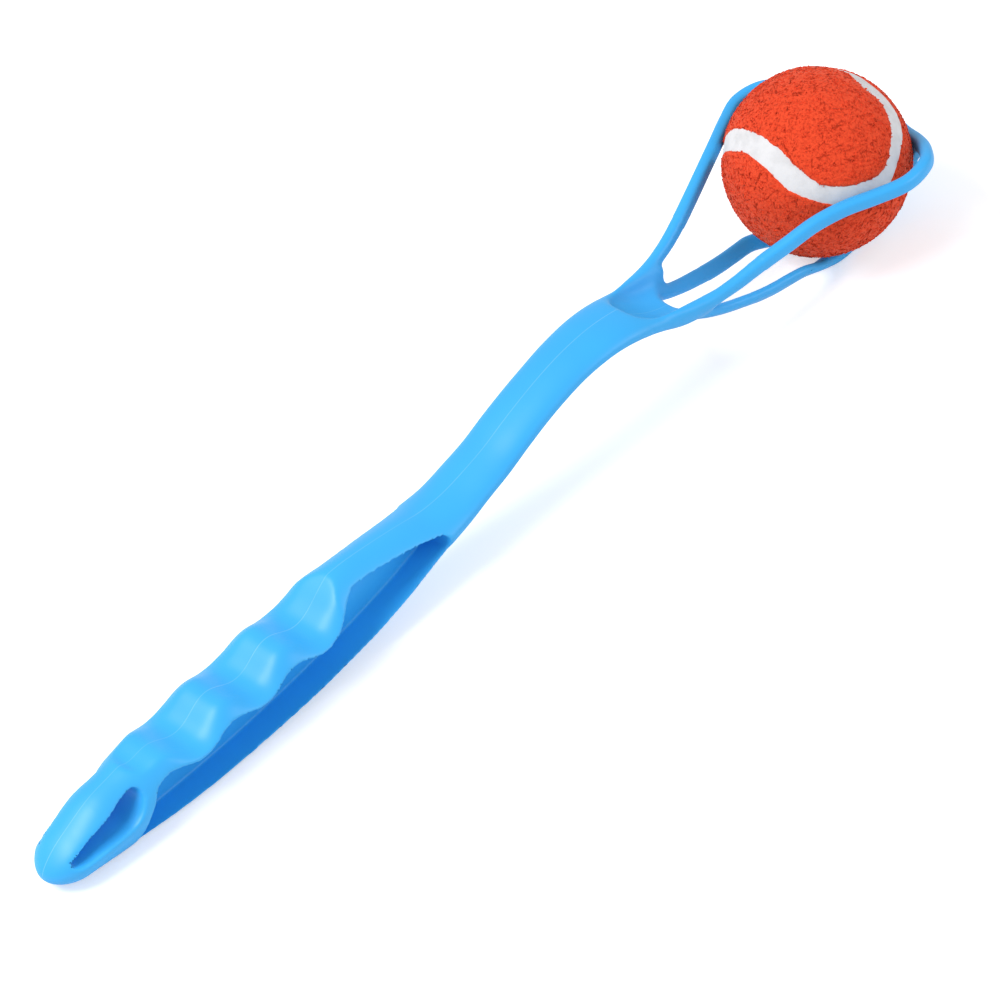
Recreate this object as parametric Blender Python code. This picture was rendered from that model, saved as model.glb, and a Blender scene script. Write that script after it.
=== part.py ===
"""Hand-held ball thrower moulded in one piece, with a felt ball lying in its cage.

The thrower lies on a floor, mouth of the cage up. +X runs from the hand end to the
cage, +Y across, +Z up. The origin is on the floor, under the middle of the length.
All sizes are in metres.
"""

import bpy
import bmesh
from math import acos, asin, cos, pi, sin, sqrt, tau
from mathutils import Matrix, Vector

# Driving dimensions: spans along the length, from the hand end to the front lip
grip_length = 0.1736
neck_length = 0.082
root_length = 0.046
cage_length = 0.0642
lip_reach = 0.0362

# Driving dimensions: the handle
grip_depth = 0.030
grip_width = 0.0304
neck_depth = 0.0084
neck_width = 0.0256
root_depth = 0.0130
root_width = 0.0336
crest_height = 0.0404
groove_floor_share = 0.517
groove_rise_share = 0.124
hole_floor_share = 0.245
end_rounding = 0.011
end_flat_share = 0.14
belly_trim = 0.00018

# Driving dimensions: finger grooves cut across the top of the grip
groove_pitch = 0.0270
groove_depth = 0.0051
groove_start = 0.0356
groove_run = 0.0999
groove_entry = 0.0129
groove_floor_height = crest_height * groove_floor_share
groove_floor_rise = crest_height * groove_rise_share

# Driving dimensions: side pockets, hang hole and their walls
bar_thickness = 0.0041
bar_swell = 0.0018
pocket_roof_wall = 0.0038
flange_thickness = 0.0022
web_thickness = 0.0026
pocket_start = 0.0301
pocket_lean = 0.0130
pocket_foot = 0.0015
pocket_end_radius = 0.0030
hole_start = 0.0066
hole_length = 0.0310
hole_height = 0.0112
hole_floor_height = crest_height * hole_floor_share

# Driving dimensions: cage ribs
rim_half_width = 0.0388
rim_height_over_ball = 0.0068
lip_drop = 0.0095
arm_thickness = 0.0047
arm_height = 0.0055
arm_root_size = 0.0058
lip_height = 0.0068
cradle_width = 0.0046
cradle_height = 0.0052
cradle_root_size = 0.0060
cradle_bow = 0.0254
pad_thickness = 0.0034
pad_spread = 0.0110
tongue_width = 0.0340
scoop_reach = 0.040
scoop_half_width = 0.0120
scoop_depth = 0.0110
scoop_slope = 37.6 * pi / 180
crotch_radius = 0.0033
scoop_place_share = 0.863
scoop_height_share = 0.948
crotch_place_share = 0.6

# Forms of the ribs and the grooves: where they swell, flatten or run out, and how round they are
rib_power = 2.4
groove_lift_power = 2.6
tip_blend_share = 1.4
arm_swell_share = 0.45
arm_swell_power = 1.5
lip_start_share = 0.7
cradle_swell_share = 0.35
pad_start_share = 0.33
pad_run_share = 0.15
pad_steps = 6

# Driving dimensions: the ball
ball_diameter = 0.0640
felt_thickness = 0.0032
rubber_wall = 0.0033
seam_width = 0.0061
seam_sink = 0.0006
piece_gap = 0.0003
overrun = 0.004

# Shape of the seam on the unit sphere, and how the ball is turned in the cage
seam_curve_share = 0.2254
ball_turn_x = -121.98 * pi / 180
ball_turn_y = 44.95 * pi / 180
ball_turn_z = 158.36 * pi / 180

# Counts of facets
section_points = 20
rib_points = 12
arm_steps = 40
cradle_steps = 26
seam_steps = 96
panel_rows = 48
panel_columns = 10
core_segments = 24
core_rings = 8

# Places along the length
crest_x = grip_length + neck_length
root_end_x = crest_x + root_length
ball_x = root_end_x + cage_length
lip_x = ball_x + lip_reach
overall_length = lip_x + arm_thickness / 2
middle_x = overall_length / 2

ball_radius = ball_diameter / 2
pad_radius = ball_radius + piece_gap + pad_thickness / 2
pad_side = pad_spread / 2
ball_height = sqrt(pad_radius ** 2 - pad_side ** 2) + pad_thickness / 2 - belly_trim

# Handle outline. Each row holds shares: place along its span, height of the middle of
# the section over the floor, depth, width, then the roundness powers under and over it
# and how much its top narrows
grip_shares = (
    (0.000, 0.168, 0.353, 0.651, 2.0, 2.2, 0.05),
    (0.061, 0.226, 0.490, 0.750, 2.1, 2.2, 0.10),
    (0.136, 0.275, 0.727, 0.842, 2.2, 2.2, 0.15),
    (0.194, 0.296, 0.798, 0.875, 2.5, 2.1, 0.18),
    (0.280, 0.332, 0.893, 0.928, 3.2, 2.4, 0.22),
    (0.366, 0.359, 0.967, 0.954, 3.6, 2.6, 0.20),
    (0.453, 0.382, 1.003, 0.974, 3.8, 2.6, 0.20),
    (0.539, 0.402, 0.990, 0.987, 4.0, 2.6, 0.20),
    (0.626, 0.425, 0.963, 0.993, 4.2, 2.6, 0.20),
    (0.712, 0.449, 0.903, 0.987, 4.2, 2.4, 0.24),
    (0.798, 0.479, 0.830, 0.974, 4.2, 2.0, 0.30),
    (0.885, 0.495, 0.667, 0.934, 3.8, 2.0, 0.28),
    (0.942, 0.508, 0.524, 0.895, 3.4, 2.0, 0.27),
    (1.000, 0.522, 0.364, 0.855, 3.0, 2.0, 0.24),
)
neck_shares = (
    (0.122, 0.544, 1.120, 0.945, 2.8, 2.1, 0.20),
    (0.244, 0.603, 0.976, 0.914, 2.6, 2.2, 0.16),
    (0.366, 0.666, 0.976, 0.890, 2.5, 2.2, 0.12),
    (0.488, 0.757, 0.988, 0.876, 2.5, 2.3, 0.10),
    (0.610, 0.840, 0.976, 0.868, 2.5, 2.3, 0.10),
    (0.732, 0.907, 0.976, 0.872, 2.5, 2.3, 0.12),
    (0.854, 0.957, 0.940, 0.900, 2.5, 2.3, 0.12),
    (1.000, 0.974, 0.940, 0.953, 2.5, 2.3, 0.12),
)
root_shares = (
    (0.217, 0.943, 0.646, 0.762, 2.5, 2.4, 0.12),
    (0.435, 0.871, 0.738, 0.792, 2.5, 2.4, 0.10),
    (0.652, 0.773, 0.854, 0.840, 2.4, 2.4, 0.06),
    (0.826, 0.720, 0.831, 0.870, 2.2, 2.4, 0.03),
    (1.000, 0.700, 0.677, 0.900, 2.2, 2.4, 0.00),
)

# Half of the rim, from inside the root to the lip. Each row holds shares: distance
# from the ball's middle along the cage or the lip, height over the rib's level as
# shares of the rim's height or drop under the ball's middle as shares of the lip's,
# and half width
arm_back_shares = (
    (-1.441, -0.588, 0.186),
    (-1.280, -0.924, 0.289),
    (-1.109, -1.099, 0.359),
    (-0.934, -0.959, 0.417),
    (-0.764, -0.508, 0.485),
    (-0.598, -0.030, 0.570),
    (-0.433, 0.473, 0.658),
    (-0.269, 0.750, 0.768),
    (-0.108, 0.834, 0.896),
)
arm_front_shares = (
    (0.106, -0.633, 0.999),
    (0.409, -0.549, 0.946),
    (0.625, -0.190, 0.752),
    (0.780, 0.282, 0.522),
    (0.900, 0.740, 0.272),
    (1.000, 1.000, 0.000),
)

# A cradle rib, from inside the root to the ball: shares of the cage's length before the
# ball's middle, of the rib's level over the floor and of the cradle's half bow
cradle_shares = (
    (-1.308, 0.8273, 0.504),
    (-1.137, 0.7067, 0.654),
    (-1.020, 0.5937, 0.732),
    (-0.905, 0.5113, 0.795),
    (-0.790, 0.4497, 0.850),
    (-0.670, 0.3999, 0.913),
    (-0.545, 0.3546, 0.969),
    (-0.444, 0.3157, 1.000),
    (-0.361, 0.2639, 0.976),
)

# The rib's bend under the ball, up to the pad: shares of the ball's radius before its
# middle and of the cradle's half bow
bend_shares = (
    (-0.562, 0.819),
    (-0.416, 0.630),
    (-0.281, 0.512),
    (-0.156, 0.449),
)
tongue_start = -8 * pi / 180
tongue_end = 73.9 * pi / 180
tongue_steps = 9
tongue_columns = 6

# Outline of the drop-shaped hang hole: shares of its length and of its height
hole_outline_shares = (
    (0.010, 0.089),
    (0.032, 0.205),
    (0.210, 0.429),
    (0.494, 0.688),
    (0.745, 0.875),
    (0.910, 0.982),
    (0.974, 0.973),
    (1.000, 0.866),
    (0.987, 0.688),
    (0.942, 0.491),
    (0.858, 0.277),
    (0.758, 0.152),
    (0.613, 0.098),
    (0.400, 0.054),
    (0.171, 0.000),
    (0.052, 0.009),
)


def clear_scene():
    """Empty the scene before modelling."""
    for item in list(bpy.data.objects):
        bpy.data.objects.remove(item, do_unlink=True)


def material(name, colour, roughness):
    """One plain surface colour with its roughness."""
    surface = bpy.data.materials.new(name)
    surface.use_nodes = True
    shader = surface.node_tree.nodes["Principled BSDF"]
    shader.inputs["Base Color"].default_value = (*colour, 1)
    shader.inputs["Roughness"].default_value = roughness
    shader.inputs["Metallic"].default_value = 0
    return surface


def make_object(name, mesh_builder, surface=None, smooth_angle=pi / 4):
    """Turn a bmesh into a named object with outward faces and smooth round sides."""
    bmesh.ops.recalc_face_normals(mesh_builder, faces=mesh_builder.faces)
    mesh = bpy.data.meshes.new(name)
    mesh_builder.to_mesh(mesh)
    mesh_builder.free()
    mesh.shade_smooth()
    mesh.set_sharp_from_angle(angle=smooth_angle)
    if surface:
        mesh.materials.append(surface)
    item = bpy.data.objects.new(name, mesh)
    bpy.context.scene.collection.objects.link(item)
    return item


def hide_helper(item):
    """Mark a shape that only cuts or joins another one."""
    item.hide_render = True
    item.display_type = "WIRE"


def combine(item, helper, operation):
    """Join a helper shape to a piece, or cut it away."""
    hide_helper(helper)
    modifier = item.modifiers.new(helper.name, "BOOLEAN")
    modifier.operation = operation
    modifier.solver = "EXACT"
    modifier.object = helper


def spline(rows, place):
    """Smooth values through rows whose first entry rises, read at a place."""
    last = len(rows) - 1
    index = 0
    while index < last - 1 and rows[index + 1][0] <= place:
        index += 1
    before = rows[max(index - 1, 0)]
    start, end = rows[index], rows[index + 1]
    after = rows[min(index + 2, last)]
    span = end[0] - start[0]
    t = (place - start[0]) / span
    values = []
    for column in range(1, len(start)):
        slope_in = (end[column] - before[column]) / (end[0] - before[0]) * span
        slope_out = (after[column] - start[column]) / (after[0] - start[0]) * span
        values.append(
            start[column] * (2 * t ** 3 - 3 * t ** 2 + 1)
            + slope_in * (t ** 3 - 2 * t ** 2 + t)
            + end[column] * (3 * t ** 2 - 2 * t ** 3)
            + slope_out * (t ** 3 - t ** 2)
        )
    return values


def handle_rows():
    """Handle stations as real sizes: place, middle height, depth, width, powers."""
    rows = []
    for span_start, span, depth_size, width_size, table in (
        (0, grip_length, grip_depth, grip_width, grip_shares),
        (grip_length, neck_length, neck_depth, neck_width, neck_shares),
        (crest_x, root_length, root_depth, root_width, root_shares),
    ):
        for along, height, depth, width, power_under, power_over, narrowing in table:
            rows.append((
                span_start + along * span,
                height * crest_height - belly_trim,
                depth * depth_size,
                width * width_size,
                power_under,
                power_over,
                narrowing,
            ))
    return rows


handle_stations = handle_rows()


def rounded_power(base, power):
    """Keep the sign of a sine or cosine while bending its curve."""
    return (1 if base >= 0 else -1) * abs(base) ** (2 / power)


def section_loop(place, scale=1):
    """Points of the handle's closed section at a place along the length."""
    height, depth, width, power_under, power_over, narrowing = spline(handle_stations, place)
    points = []
    for step in range(section_points):
        angle = tau * step / section_points
        power = power_over if sin(angle) >= 0 else power_under
        rise = rounded_power(sin(angle), power)
        side = rounded_power(cos(angle), power) * (1 - narrowing * max(rise, 0))
        points.append(Vector((
            place - middle_x,
            side * width / 2 * scale,
            height + rise * depth / 2 * scale,
        )))
    return points


def loft(loops):
    """Closed skin over rings of points, each end filled."""
    builder = bmesh.new()
    rings = []
    for loop in loops:
        verts = [builder.verts.new(point) for point in loop]
        rings.append([builder.edges.new((verts[i - 1], verts[i])) for i in range(len(verts))])
    for first, second in zip(rings, rings[1:]):
        bmesh.ops.bridge_loops(builder, edges=first + second)
    for ring in (rings[0], rings[-1]):
        bmesh.ops.contextual_create(builder, geom=ring)
    return builder


def handle_places():
    """Stations of the skin, close together at the rounded hand end."""
    end_steps = 5
    places = [end_rounding * (1 - cos(pi / 2 * step / end_steps)) for step in range(end_steps)]
    rest_steps = 44
    rest = root_end_x - end_rounding
    places += [end_rounding + rest * step / rest_steps for step in range(rest_steps + 1)]
    return places


def handle_skin():
    """The solid handle before anything is cut from it."""
    end_power = 2
    loops = []
    for place in handle_places():
        scale = 1
        if place < end_rounding:
            scale = (1 - (1 - place / end_rounding) ** end_power) ** (1 / end_power)
            scale = max(scale, end_flat_share)
        loops.append(section_loop(place, scale))
    return loft(loops)


def prism(outline, low_y, high_y):
    """Straight block across the handle with an outline in the XZ plane."""
    builder = bmesh.new()
    verts = [builder.verts.new((x - middle_x, low_y, z)) for x, z in outline]
    face = builder.faces.new(verts)
    moved = bmesh.ops.extrude_face_region(builder, geom=[face])
    top = [part for part in moved["geom"] if isinstance(part, bmesh.types.BMVert)]
    bmesh.ops.translate(builder, verts=top, vec=(0, high_y - low_y, 0))
    return builder


def handle_top(place):
    """Height of the uncut top of the handle."""
    height, depth = spline(handle_stations, place)[:2]
    return height + depth / 2


def handle_bottom(place):
    """Height of the underside of the handle."""
    height, depth = spline(handle_stations, place)[:2]
    return height - depth / 2


def groove_wave(place):
    """One at a ridge between two fingers, minus one in a groove."""
    first_ridge = groove_start + groove_entry
    return cos(tau * (place - first_ridge) / groove_pitch)


def groove_height(place):
    """Height of the finger surface, without its two ends."""
    share = (place - groove_start) / groove_run
    mean = groove_floor_height + groove_floor_rise * share
    return mean + groove_depth / 2 * groove_wave(place)


def groove_block():
    """Cutter over the grip: its underside is the row of finger grooves."""
    steps = 44
    outline = []
    top = crest_height + overrun
    for step in range(steps + 1):
        place = groove_start + groove_run * step / steps
        from_end = min(place - groove_start, groove_start + groove_run - place)
        height = groove_height(place)
        if from_end < groove_entry:
            lift = 1 - from_end / groove_entry
            height += (handle_top(place) + overrun - height) * lift ** groove_lift_power
        outline.append((place, height))
    outline.append((groove_start + groove_run, top))
    outline.append((groove_start, top))
    return prism(outline, -grip_width, grip_width)


def pocket_roof(place):
    """Height of the pocket's roof, which follows the finger grooves."""
    under_grooves = groove_height(place) - bar_thickness - bar_swell / 2 * groove_wave(place)
    under_top = handle_top(place) - pocket_roof_wall
    blend_start = groove_start + groove_run - groove_entry * tip_blend_share
    blend = min(max((place - blend_start) / groove_entry, 0), 1)
    blend = blend * blend * (3 - 2 * blend)
    return under_grooves * (1 - blend) + under_top * blend


def pocket_outline():
    """Outline of the long side pocket, from its leaning rib to its rounded tip."""
    floor_steps = 16
    roof_steps = 34
    tip = grip_length - pocket_end_radius
    roof_start = pocket_start + pocket_lean
    outline = [(pocket_start, handle_bottom(pocket_start) + flange_thickness + pocket_foot)]
    for step in range(floor_steps + 1):
        foot = pocket_start + pocket_foot
        place = foot + (tip - foot) * step / floor_steps
        outline.append((place, handle_bottom(place) + flange_thickness))
    middle = (handle_bottom(tip) + flange_thickness + pocket_roof(tip)) / 2
    half = pocket_roof(tip) - middle
    for step in range(1, 5):
        angle = -pi / 2 + pi * step / 5
        outline.append((tip + pocket_end_radius * cos(angle), middle + half * sin(angle)))
    for step in range(roof_steps + 1):
        place = tip - (tip - roof_start) * step / roof_steps
        outline.append((place, pocket_roof(place)))
    return outline


def hole_outline():
    """Outline of the drop-shaped hang hole at the hand end."""
    return [
        (hole_start + along * hole_length, hole_floor_height + height * hole_height)
        for along, height in hole_outline_shares
    ]


def floor_block():
    """Cutter that leaves narrow flats where the part lies on the floor."""
    builder = bmesh.new()
    bmesh.ops.create_cube(builder, size=1)
    block = (overall_length * 2, ball_diameter * 2, overrun)
    bmesh.ops.scale(builder, verts=builder.verts, vec=block)
    bmesh.ops.translate(builder, verts=builder.verts, vec=(0, 0, -overrun / 2))
    return builder


def ball_centre():
    """Middle of the ball as it lies on the cradle ribs."""
    return Vector((ball_x - middle_x, 0, ball_height))


def curve_through(points, steps):
    """Evenly spread places on a smooth curve through the given points."""
    lengths = [0]
    for first, second in zip(points, points[1:]):
        lengths.append(lengths[-1] + (second - first).length)
    rows = [(length, *point) for length, point in zip(lengths, points)]
    return [Vector(spline(rows, lengths[-1] * step / steps)) for step in range(steps + 1)]


def rib(path, sizes, side_axis):
    """Oval rib swept along a path, with its two widths and its side at each place."""
    loops = []
    last = len(path) - 1
    for index, point in enumerate(path):
        ahead = path[min(index + 1, last)] - path[max(index - 1, 0)]
        ahead.normalize()
        side = side_axis(point)
        side = (side - ahead * side.dot(ahead)).normalized()
        across = ahead.cross(side)
        along_side, along_across = sizes(index / last)
        ring = []
        for step in range(rib_points):
            angle = tau * step / rib_points
            ring.append(
                point
                + side * along_side / 2 * rounded_power(cos(angle), rib_power)
                + across * along_across / 2 * rounded_power(sin(angle), rib_power)
            )
        loops.append(ring)
    return loft(loops)


def rib_level(along, rows):
    """Height that a rib is measured from: the crest at its root, the ball's middle beside the ball."""
    root_share = along / rows[0][0]
    return crest_height * root_share + ball_height * (1 - root_share)


def rim_half():
    """Half of the rim's middle line, on the +Y side."""
    centre = ball_centre()
    points = []
    for along, height, half_width in arm_back_shares:
        points.append(Vector((
            centre.x + along * cage_length,
            half_width * rim_half_width,
            rib_level(along, arm_back_shares) + height * rim_height_over_ball,
        )))
    for along, drop, half_width in arm_front_shares:
        points.append(centre + Vector((
            along * lip_reach,
            half_width * rim_half_width,
            -drop * lip_drop,
        )))
    return points


def rim():
    """The rim: far arm, lip and near arm as one rib."""
    half = rim_half()
    other = [Vector((p.x, -p.y, p.z)) for p in reversed(half[:-1])]
    path = curve_through(half + other, arm_steps * 2)

    def sizes(share):
        from_root = min(share, 1 - share) * 2
        root = max(1 - from_root / arm_swell_share, 0) ** arm_swell_power
        lip = max(from_root - lip_start_share, 0) / (1 - lip_start_share)
        height = arm_height + (arm_root_size - arm_height) * root + (lip_height - arm_height) * lip
        thickness = arm_thickness + (arm_root_size - arm_thickness) * root
        return height, thickness

    return rib(path, sizes, lambda point: Vector((0, 0, 1)))


def cradle_path(side):
    """Middle line of a cradle rib, from the root to the pad under the ball."""
    centre = ball_centre()
    points = []
    for along, height, spread in cradle_shares:
        points.append(Vector((
            centre.x + along * cage_length,
            side * spread * cradle_bow / 2,
            height * rib_level(along, cradle_shares),
        )))
    for along, spread in bend_shares:
        before = along * ball_radius
        across = spread * cradle_bow / 2
        drop = sqrt(pad_radius ** 2 - before ** 2 - across ** 2)
        points.append(centre + Vector((before, side * across, -drop)))
    for step in range(4):
        angle = tongue_end * step / pad_steps
        reach = sqrt(pad_radius ** 2 - pad_side ** 2)
        points.append(centre + Vector((reach * sin(angle), side * pad_side, -reach * cos(angle))))
    return curve_through(points, cradle_steps)


def beside_ball(point):
    """Cross direction square to the ball's radius."""
    radius = (point - ball_centre()).normalized()
    cross = Vector((0, 1, 0))
    return cross - radius * cross.dot(radius)


def cradle(side):
    """One cradle rib."""
    def sizes(share):
        root = max(1 - share / cradle_swell_share, 0)
        flat = min(max((share - pad_start_share) / pad_run_share, 0), 1)
        width = cradle_width + (cradle_root_size - cradle_width) * root
        height = cradle_height + (cradle_root_size - cradle_height) * root
        return width, height + (pad_thickness - height) * flat

    return rib(cradle_path(side), sizes, beside_ball)


def tongue():
    """Curved plate that joins the cradle ribs under the ball to the lip."""
    lip_distance = sqrt(lip_reach ** 2 + lip_drop ** 2)
    loops = []
    for step in range(tongue_steps + 1):
        share = step / tongue_steps
        angle = tongue_start + (tongue_end - tongue_start) * share
        radius = pad_radius + (lip_distance - pad_radius) * share ** 4
        half = asin((pad_spread + (tongue_width - pad_spread) * share ** 2) / 2 / radius)
        ring = []
        for thickness, order in (
            (-pad_thickness / 2, range(tongue_columns + 1)),
            (pad_thickness / 2, range(tongue_columns, -1, -1)),
        ):
            for column in order:
                lean = half * (2 * column / tongue_columns - 1)
                around = Vector((sin(angle) * cos(lean), sin(lean), -cos(angle) * cos(lean)))
                ring.append(ball_centre() + around * (radius + thickness))
        loops.append(ring)
    return loft(loops)


def scoop_ball():
    """Cutter that hollows the root like the bowl of a spoon and opens its front."""
    builder = bmesh.new()
    bmesh.ops.create_uvsphere(builder, u_segments=28, v_segments=16, radius=1)
    bmesh.ops.scale(builder, verts=builder.verts, vec=(scoop_reach, scoop_half_width, scoop_depth))
    bmesh.ops.rotate(
        builder, verts=builder.verts, cent=(0, 0, 0), matrix=Matrix.Rotation(scoop_slope, 3, "Y"))
    place = Vector((crest_x + root_length * scoop_place_share - middle_x, 0, crest_height * scoop_height_share))
    bmesh.ops.translate(builder, verts=builder.verts, vec=place)
    return builder


def crotch_cutter():
    """Cross cutter for the round end of the gaps between rim and cradle."""
    builder = bmesh.new()
    bmesh.ops.create_cone(
        builder, cap_ends=True, segments=16, radius1=crotch_radius, radius2=crotch_radius,
        depth=grip_width + root_width)
    bmesh.ops.rotate(builder, verts=builder.verts, cent=(0, 0, 0), matrix=Matrix.Rotation(pi / 2, 3, "X"))
    height = spline(handle_stations, root_end_x)[0] - crotch_radius
    bmesh.ops.translate(
        builder, verts=builder.verts, vec=(root_end_x + crotch_radius * crotch_place_share - middle_x, 0, height))
    return builder


def thrower():
    """The whole moulding: handle, root, rim, cradle and lip in one piece."""
    plastic = material("blue_plastic", (0.075, 0.44, 0.90), 0.36)
    body = make_object("thrower_moulding", handle_skin(), plastic)
    pocket = pocket_outline()
    reach = grip_width
    joins = (
        ("rim_shape", rim()),
        ("cradle_left_shape", cradle(1)),
        ("cradle_right_shape", cradle(-1)),
        ("tongue_shape", tongue()),
    )
    cuts = (
        ("groove_cut", groove_block()),
        ("pocket_cut_left", prism(pocket, web_thickness / 2, reach)),
        ("pocket_cut_right", prism(pocket, -reach, -web_thickness / 2)),
        ("hang_hole_cut", prism(hole_outline(), -reach, reach)),
    )
    for name, shape in cuts:
        combine(body, make_object(name, shape), "DIFFERENCE")
    combine(body, make_object("crotch_cut", crotch_cutter()), "DIFFERENCE")
    for name, shape in joins:
        combine(body, make_object(name, shape), "UNION")
    combine(body, make_object("scoop_cut", scoop_ball()), "DIFFERENCE")
    combine(body, make_object("floor_cut", floor_block()), "DIFFERENCE")
    return body


def ball_turn():
    """How the ball is turned in the cage."""
    return (
        Matrix.Rotation(ball_turn_z, 3, "Z")
        @ Matrix.Rotation(ball_turn_y, 3, "Y")
        @ Matrix.Rotation(ball_turn_x, 3, "X")
    )


def seam_point(angle):
    """Point of the closed seam curve on the unit sphere."""
    wide = 1 - seam_curve_share
    return Vector((
        wide * cos(angle) + seam_curve_share * cos(3 * angle),
        wide * sin(angle) - seam_curve_share * sin(3 * angle),
        2 * sqrt(wide * seam_curve_share) * sin(2 * angle),
    )).normalized()


def seam_edge(angle, offset):
    """Seam point moved sideways over the sphere by an angle."""
    step = tau / seam_steps / 4
    point = seam_point(angle)
    ahead = seam_point(angle + step) - seam_point(angle - step)
    side = point.cross(ahead).normalized()
    return (point * cos(offset) + side * sin(offset)).normalized()


def placed(direction, radius):
    """Point of the ball at a distance from its middle."""
    return ball_centre() + ball_turn() @ (direction * radius)


def ring_mesh(profile_loops):
    """Closed tube whose rings join up again."""
    builder = bmesh.new()
    rings = [[builder.verts.new(point) for point in loop] for loop in profile_loops]
    count = len(rings[0])
    for index, ring in enumerate(rings):
        previous = rings[index - 1]
        for corner in range(count):
            builder.faces.new((
                previous[corner - 1], previous[corner], ring[corner], ring[corner - 1]))
    return builder


def seam():
    """Raised rubber seam between the two felt panels."""
    outer = ball_radius - seam_sink
    inner = ball_radius - felt_thickness
    half = seam_width / 2 / ball_radius
    loops = []
    for step in range(seam_steps):
        angle = tau * step / seam_steps
        loops.append([
            placed(seam_edge(angle, -half), inner),
            placed(seam_edge(angle, -half), outer),
            placed(seam_edge(angle, half), outer),
            placed(seam_edge(angle, half), inner),
        ])
    white = material("white_seam_rubber", (0.86, 0.87, 0.88), 0.6)
    return make_object("ball_seam", ring_mesh(loops), white, pi / 6)


def panel_row(side, share, radius):
    """Points across a felt panel, from one seam edge to the other."""
    tip = pi / 2 + side * pi / 4
    offset = side * (seam_width / 2 + piece_gap) / ball_radius
    start = seam_edge(tip + pi * share, offset)
    end = seam_edge(tip - pi * share, offset)
    if share in (0, 1):
        return [placed(start, radius)]
    return [
        placed(start.slerp(end, column / panel_columns), radius)
        for column in range(panel_columns + 1)
    ]


def join_rows(builder, first, second):
    """Faces between two rows; a row of one point closes the panel's tip."""
    if len(first) == 1:
        for column in range(len(second) - 1):
            builder.faces.new((first[0], second[column + 1], second[column]))
    elif len(second) == 1:
        for column in range(len(first) - 1):
            builder.faces.new((first[column], first[column + 1], second[0]))
    else:
        for column in range(len(first) - 1):
            builder.faces.new((
                first[column], first[column + 1], second[column + 1], second[column]))


def felt_panel(name, side, surface):
    """One of the two waisted felt panels, wrapped on the rubber core."""
    builder = bmesh.new()
    edges = []
    for radius in (ball_radius - felt_thickness, ball_radius):
        rows = []
        for row in range(panel_rows + 1):
            points = panel_row(side, row / panel_rows, radius)
            rows.append([builder.verts.new(point) for point in points])
        for first, second in zip(rows, rows[1:]):
            join_rows(builder, first, second)
        edges.append([row[0] for row in rows] + [row[-1] for row in reversed(rows[1:-1])])
    inner, outer = edges
    for index in range(len(inner)):
        builder.faces.new((inner[index - 1], inner[index], outer[index], outer[index - 1]))
    return make_object(name, builder, surface, pi / 6)


def core_half(name, side, surface):
    """One of the two moulded rubber cups that are bonded into the core."""
    outer = ball_radius - felt_thickness - piece_gap
    inner = outer - rubber_wall
    builder = bmesh.new()
    flat = piece_gap / 2
    profile = []
    for radius, order in ((outer, range(core_rings + 1)), (inner, range(core_rings, -1, -1))):
        rim_angle = acos(flat / radius)
        for step in order:
            angle = rim_angle * step / core_rings
            profile.append(Vector((radius * sin(angle), 0, radius * cos(angle))))
    verts = [builder.verts.new(point) for point in profile]
    edges = [builder.edges.new(pair) for pair in zip(verts, verts[1:])]
    bmesh.ops.spin(
        builder, geom=verts + edges, cent=(0, 0, 0), axis=(0, 0, 1), angle=tau,
        steps=core_segments, use_merge=True)
    bmesh.ops.remove_doubles(builder, verts=builder.verts, dist=piece_gap / 10)
    if side < 0:
        bmesh.ops.rotate(builder, verts=builder.verts, cent=(0, 0, 0), matrix=Matrix.Rotation(pi, 3, "X"))
    bmesh.ops.rotate(builder, verts=builder.verts, cent=(0, 0, 0), matrix=ball_turn())
    bmesh.ops.translate(builder, verts=builder.verts, vec=ball_centre())
    return make_object(name, builder, surface)


def ball():
    """The ball: two core halves, two felt panels and the seam."""
    rubber = material("black_core_rubber", (0.03, 0.03, 0.03), 0.7)
    felt = material("orange_felt", (0.80, 0.09, 0.03), 0.95)
    pieces = [
        core_half("ball_core_half_a", 1, rubber),
        core_half("ball_core_half_b", -1, rubber),
        felt_panel("ball_felt_panel_a", 1, felt),
        felt_panel("ball_felt_panel_b", -1, felt),
        seam(),
    ]
    carrier = bpy.data.objects.new("ball_release_axis", None)
    carrier.location = ball_centre()
    bpy.context.scene.collection.objects.link(carrier)
    bpy.context.view_layer.update()
    for piece in pieces:
        piece.parent = carrier
        piece.matrix_parent_inverse = carrier.matrix_world.inverted()


clear_scene()
thrower()
ball()
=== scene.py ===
"""Dog ball thrower with its felt ball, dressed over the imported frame.

The thrower is one soft-edged satin moulding. The ball has two felt panels with a ragged edge, a nap of
short fibres and a sunk rubber seam. Everything is in metres: +X towards the cage, +Z up, floor at zero.
"""

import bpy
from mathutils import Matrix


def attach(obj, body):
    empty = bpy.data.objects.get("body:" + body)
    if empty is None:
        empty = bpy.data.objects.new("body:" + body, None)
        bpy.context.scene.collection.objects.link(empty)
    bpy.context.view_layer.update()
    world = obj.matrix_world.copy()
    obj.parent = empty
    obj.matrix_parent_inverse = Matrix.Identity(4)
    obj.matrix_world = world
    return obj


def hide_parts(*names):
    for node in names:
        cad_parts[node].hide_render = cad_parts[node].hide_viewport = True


bl_info = {
    "name": "Dog ball thrower",
    "version": (1, 0, 0),
    "blender": (4, 5, 0),
    "location": "View3D > Sidebar > Ball thrower",
    "description": "Builds a moulded ball thrower, its felt ball and a plain studio",
    "category": "Object",
}

from math import asin, cos, pi, sin, sqrt, tau
from random import Random

import bmesh
import bpy
from bpy.props import FloatProperty, FloatVectorProperty, IntProperty, PointerProperty
from mathutils import Matrix, Vector, noise
from mathutils.kdtree import KDTree

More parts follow.
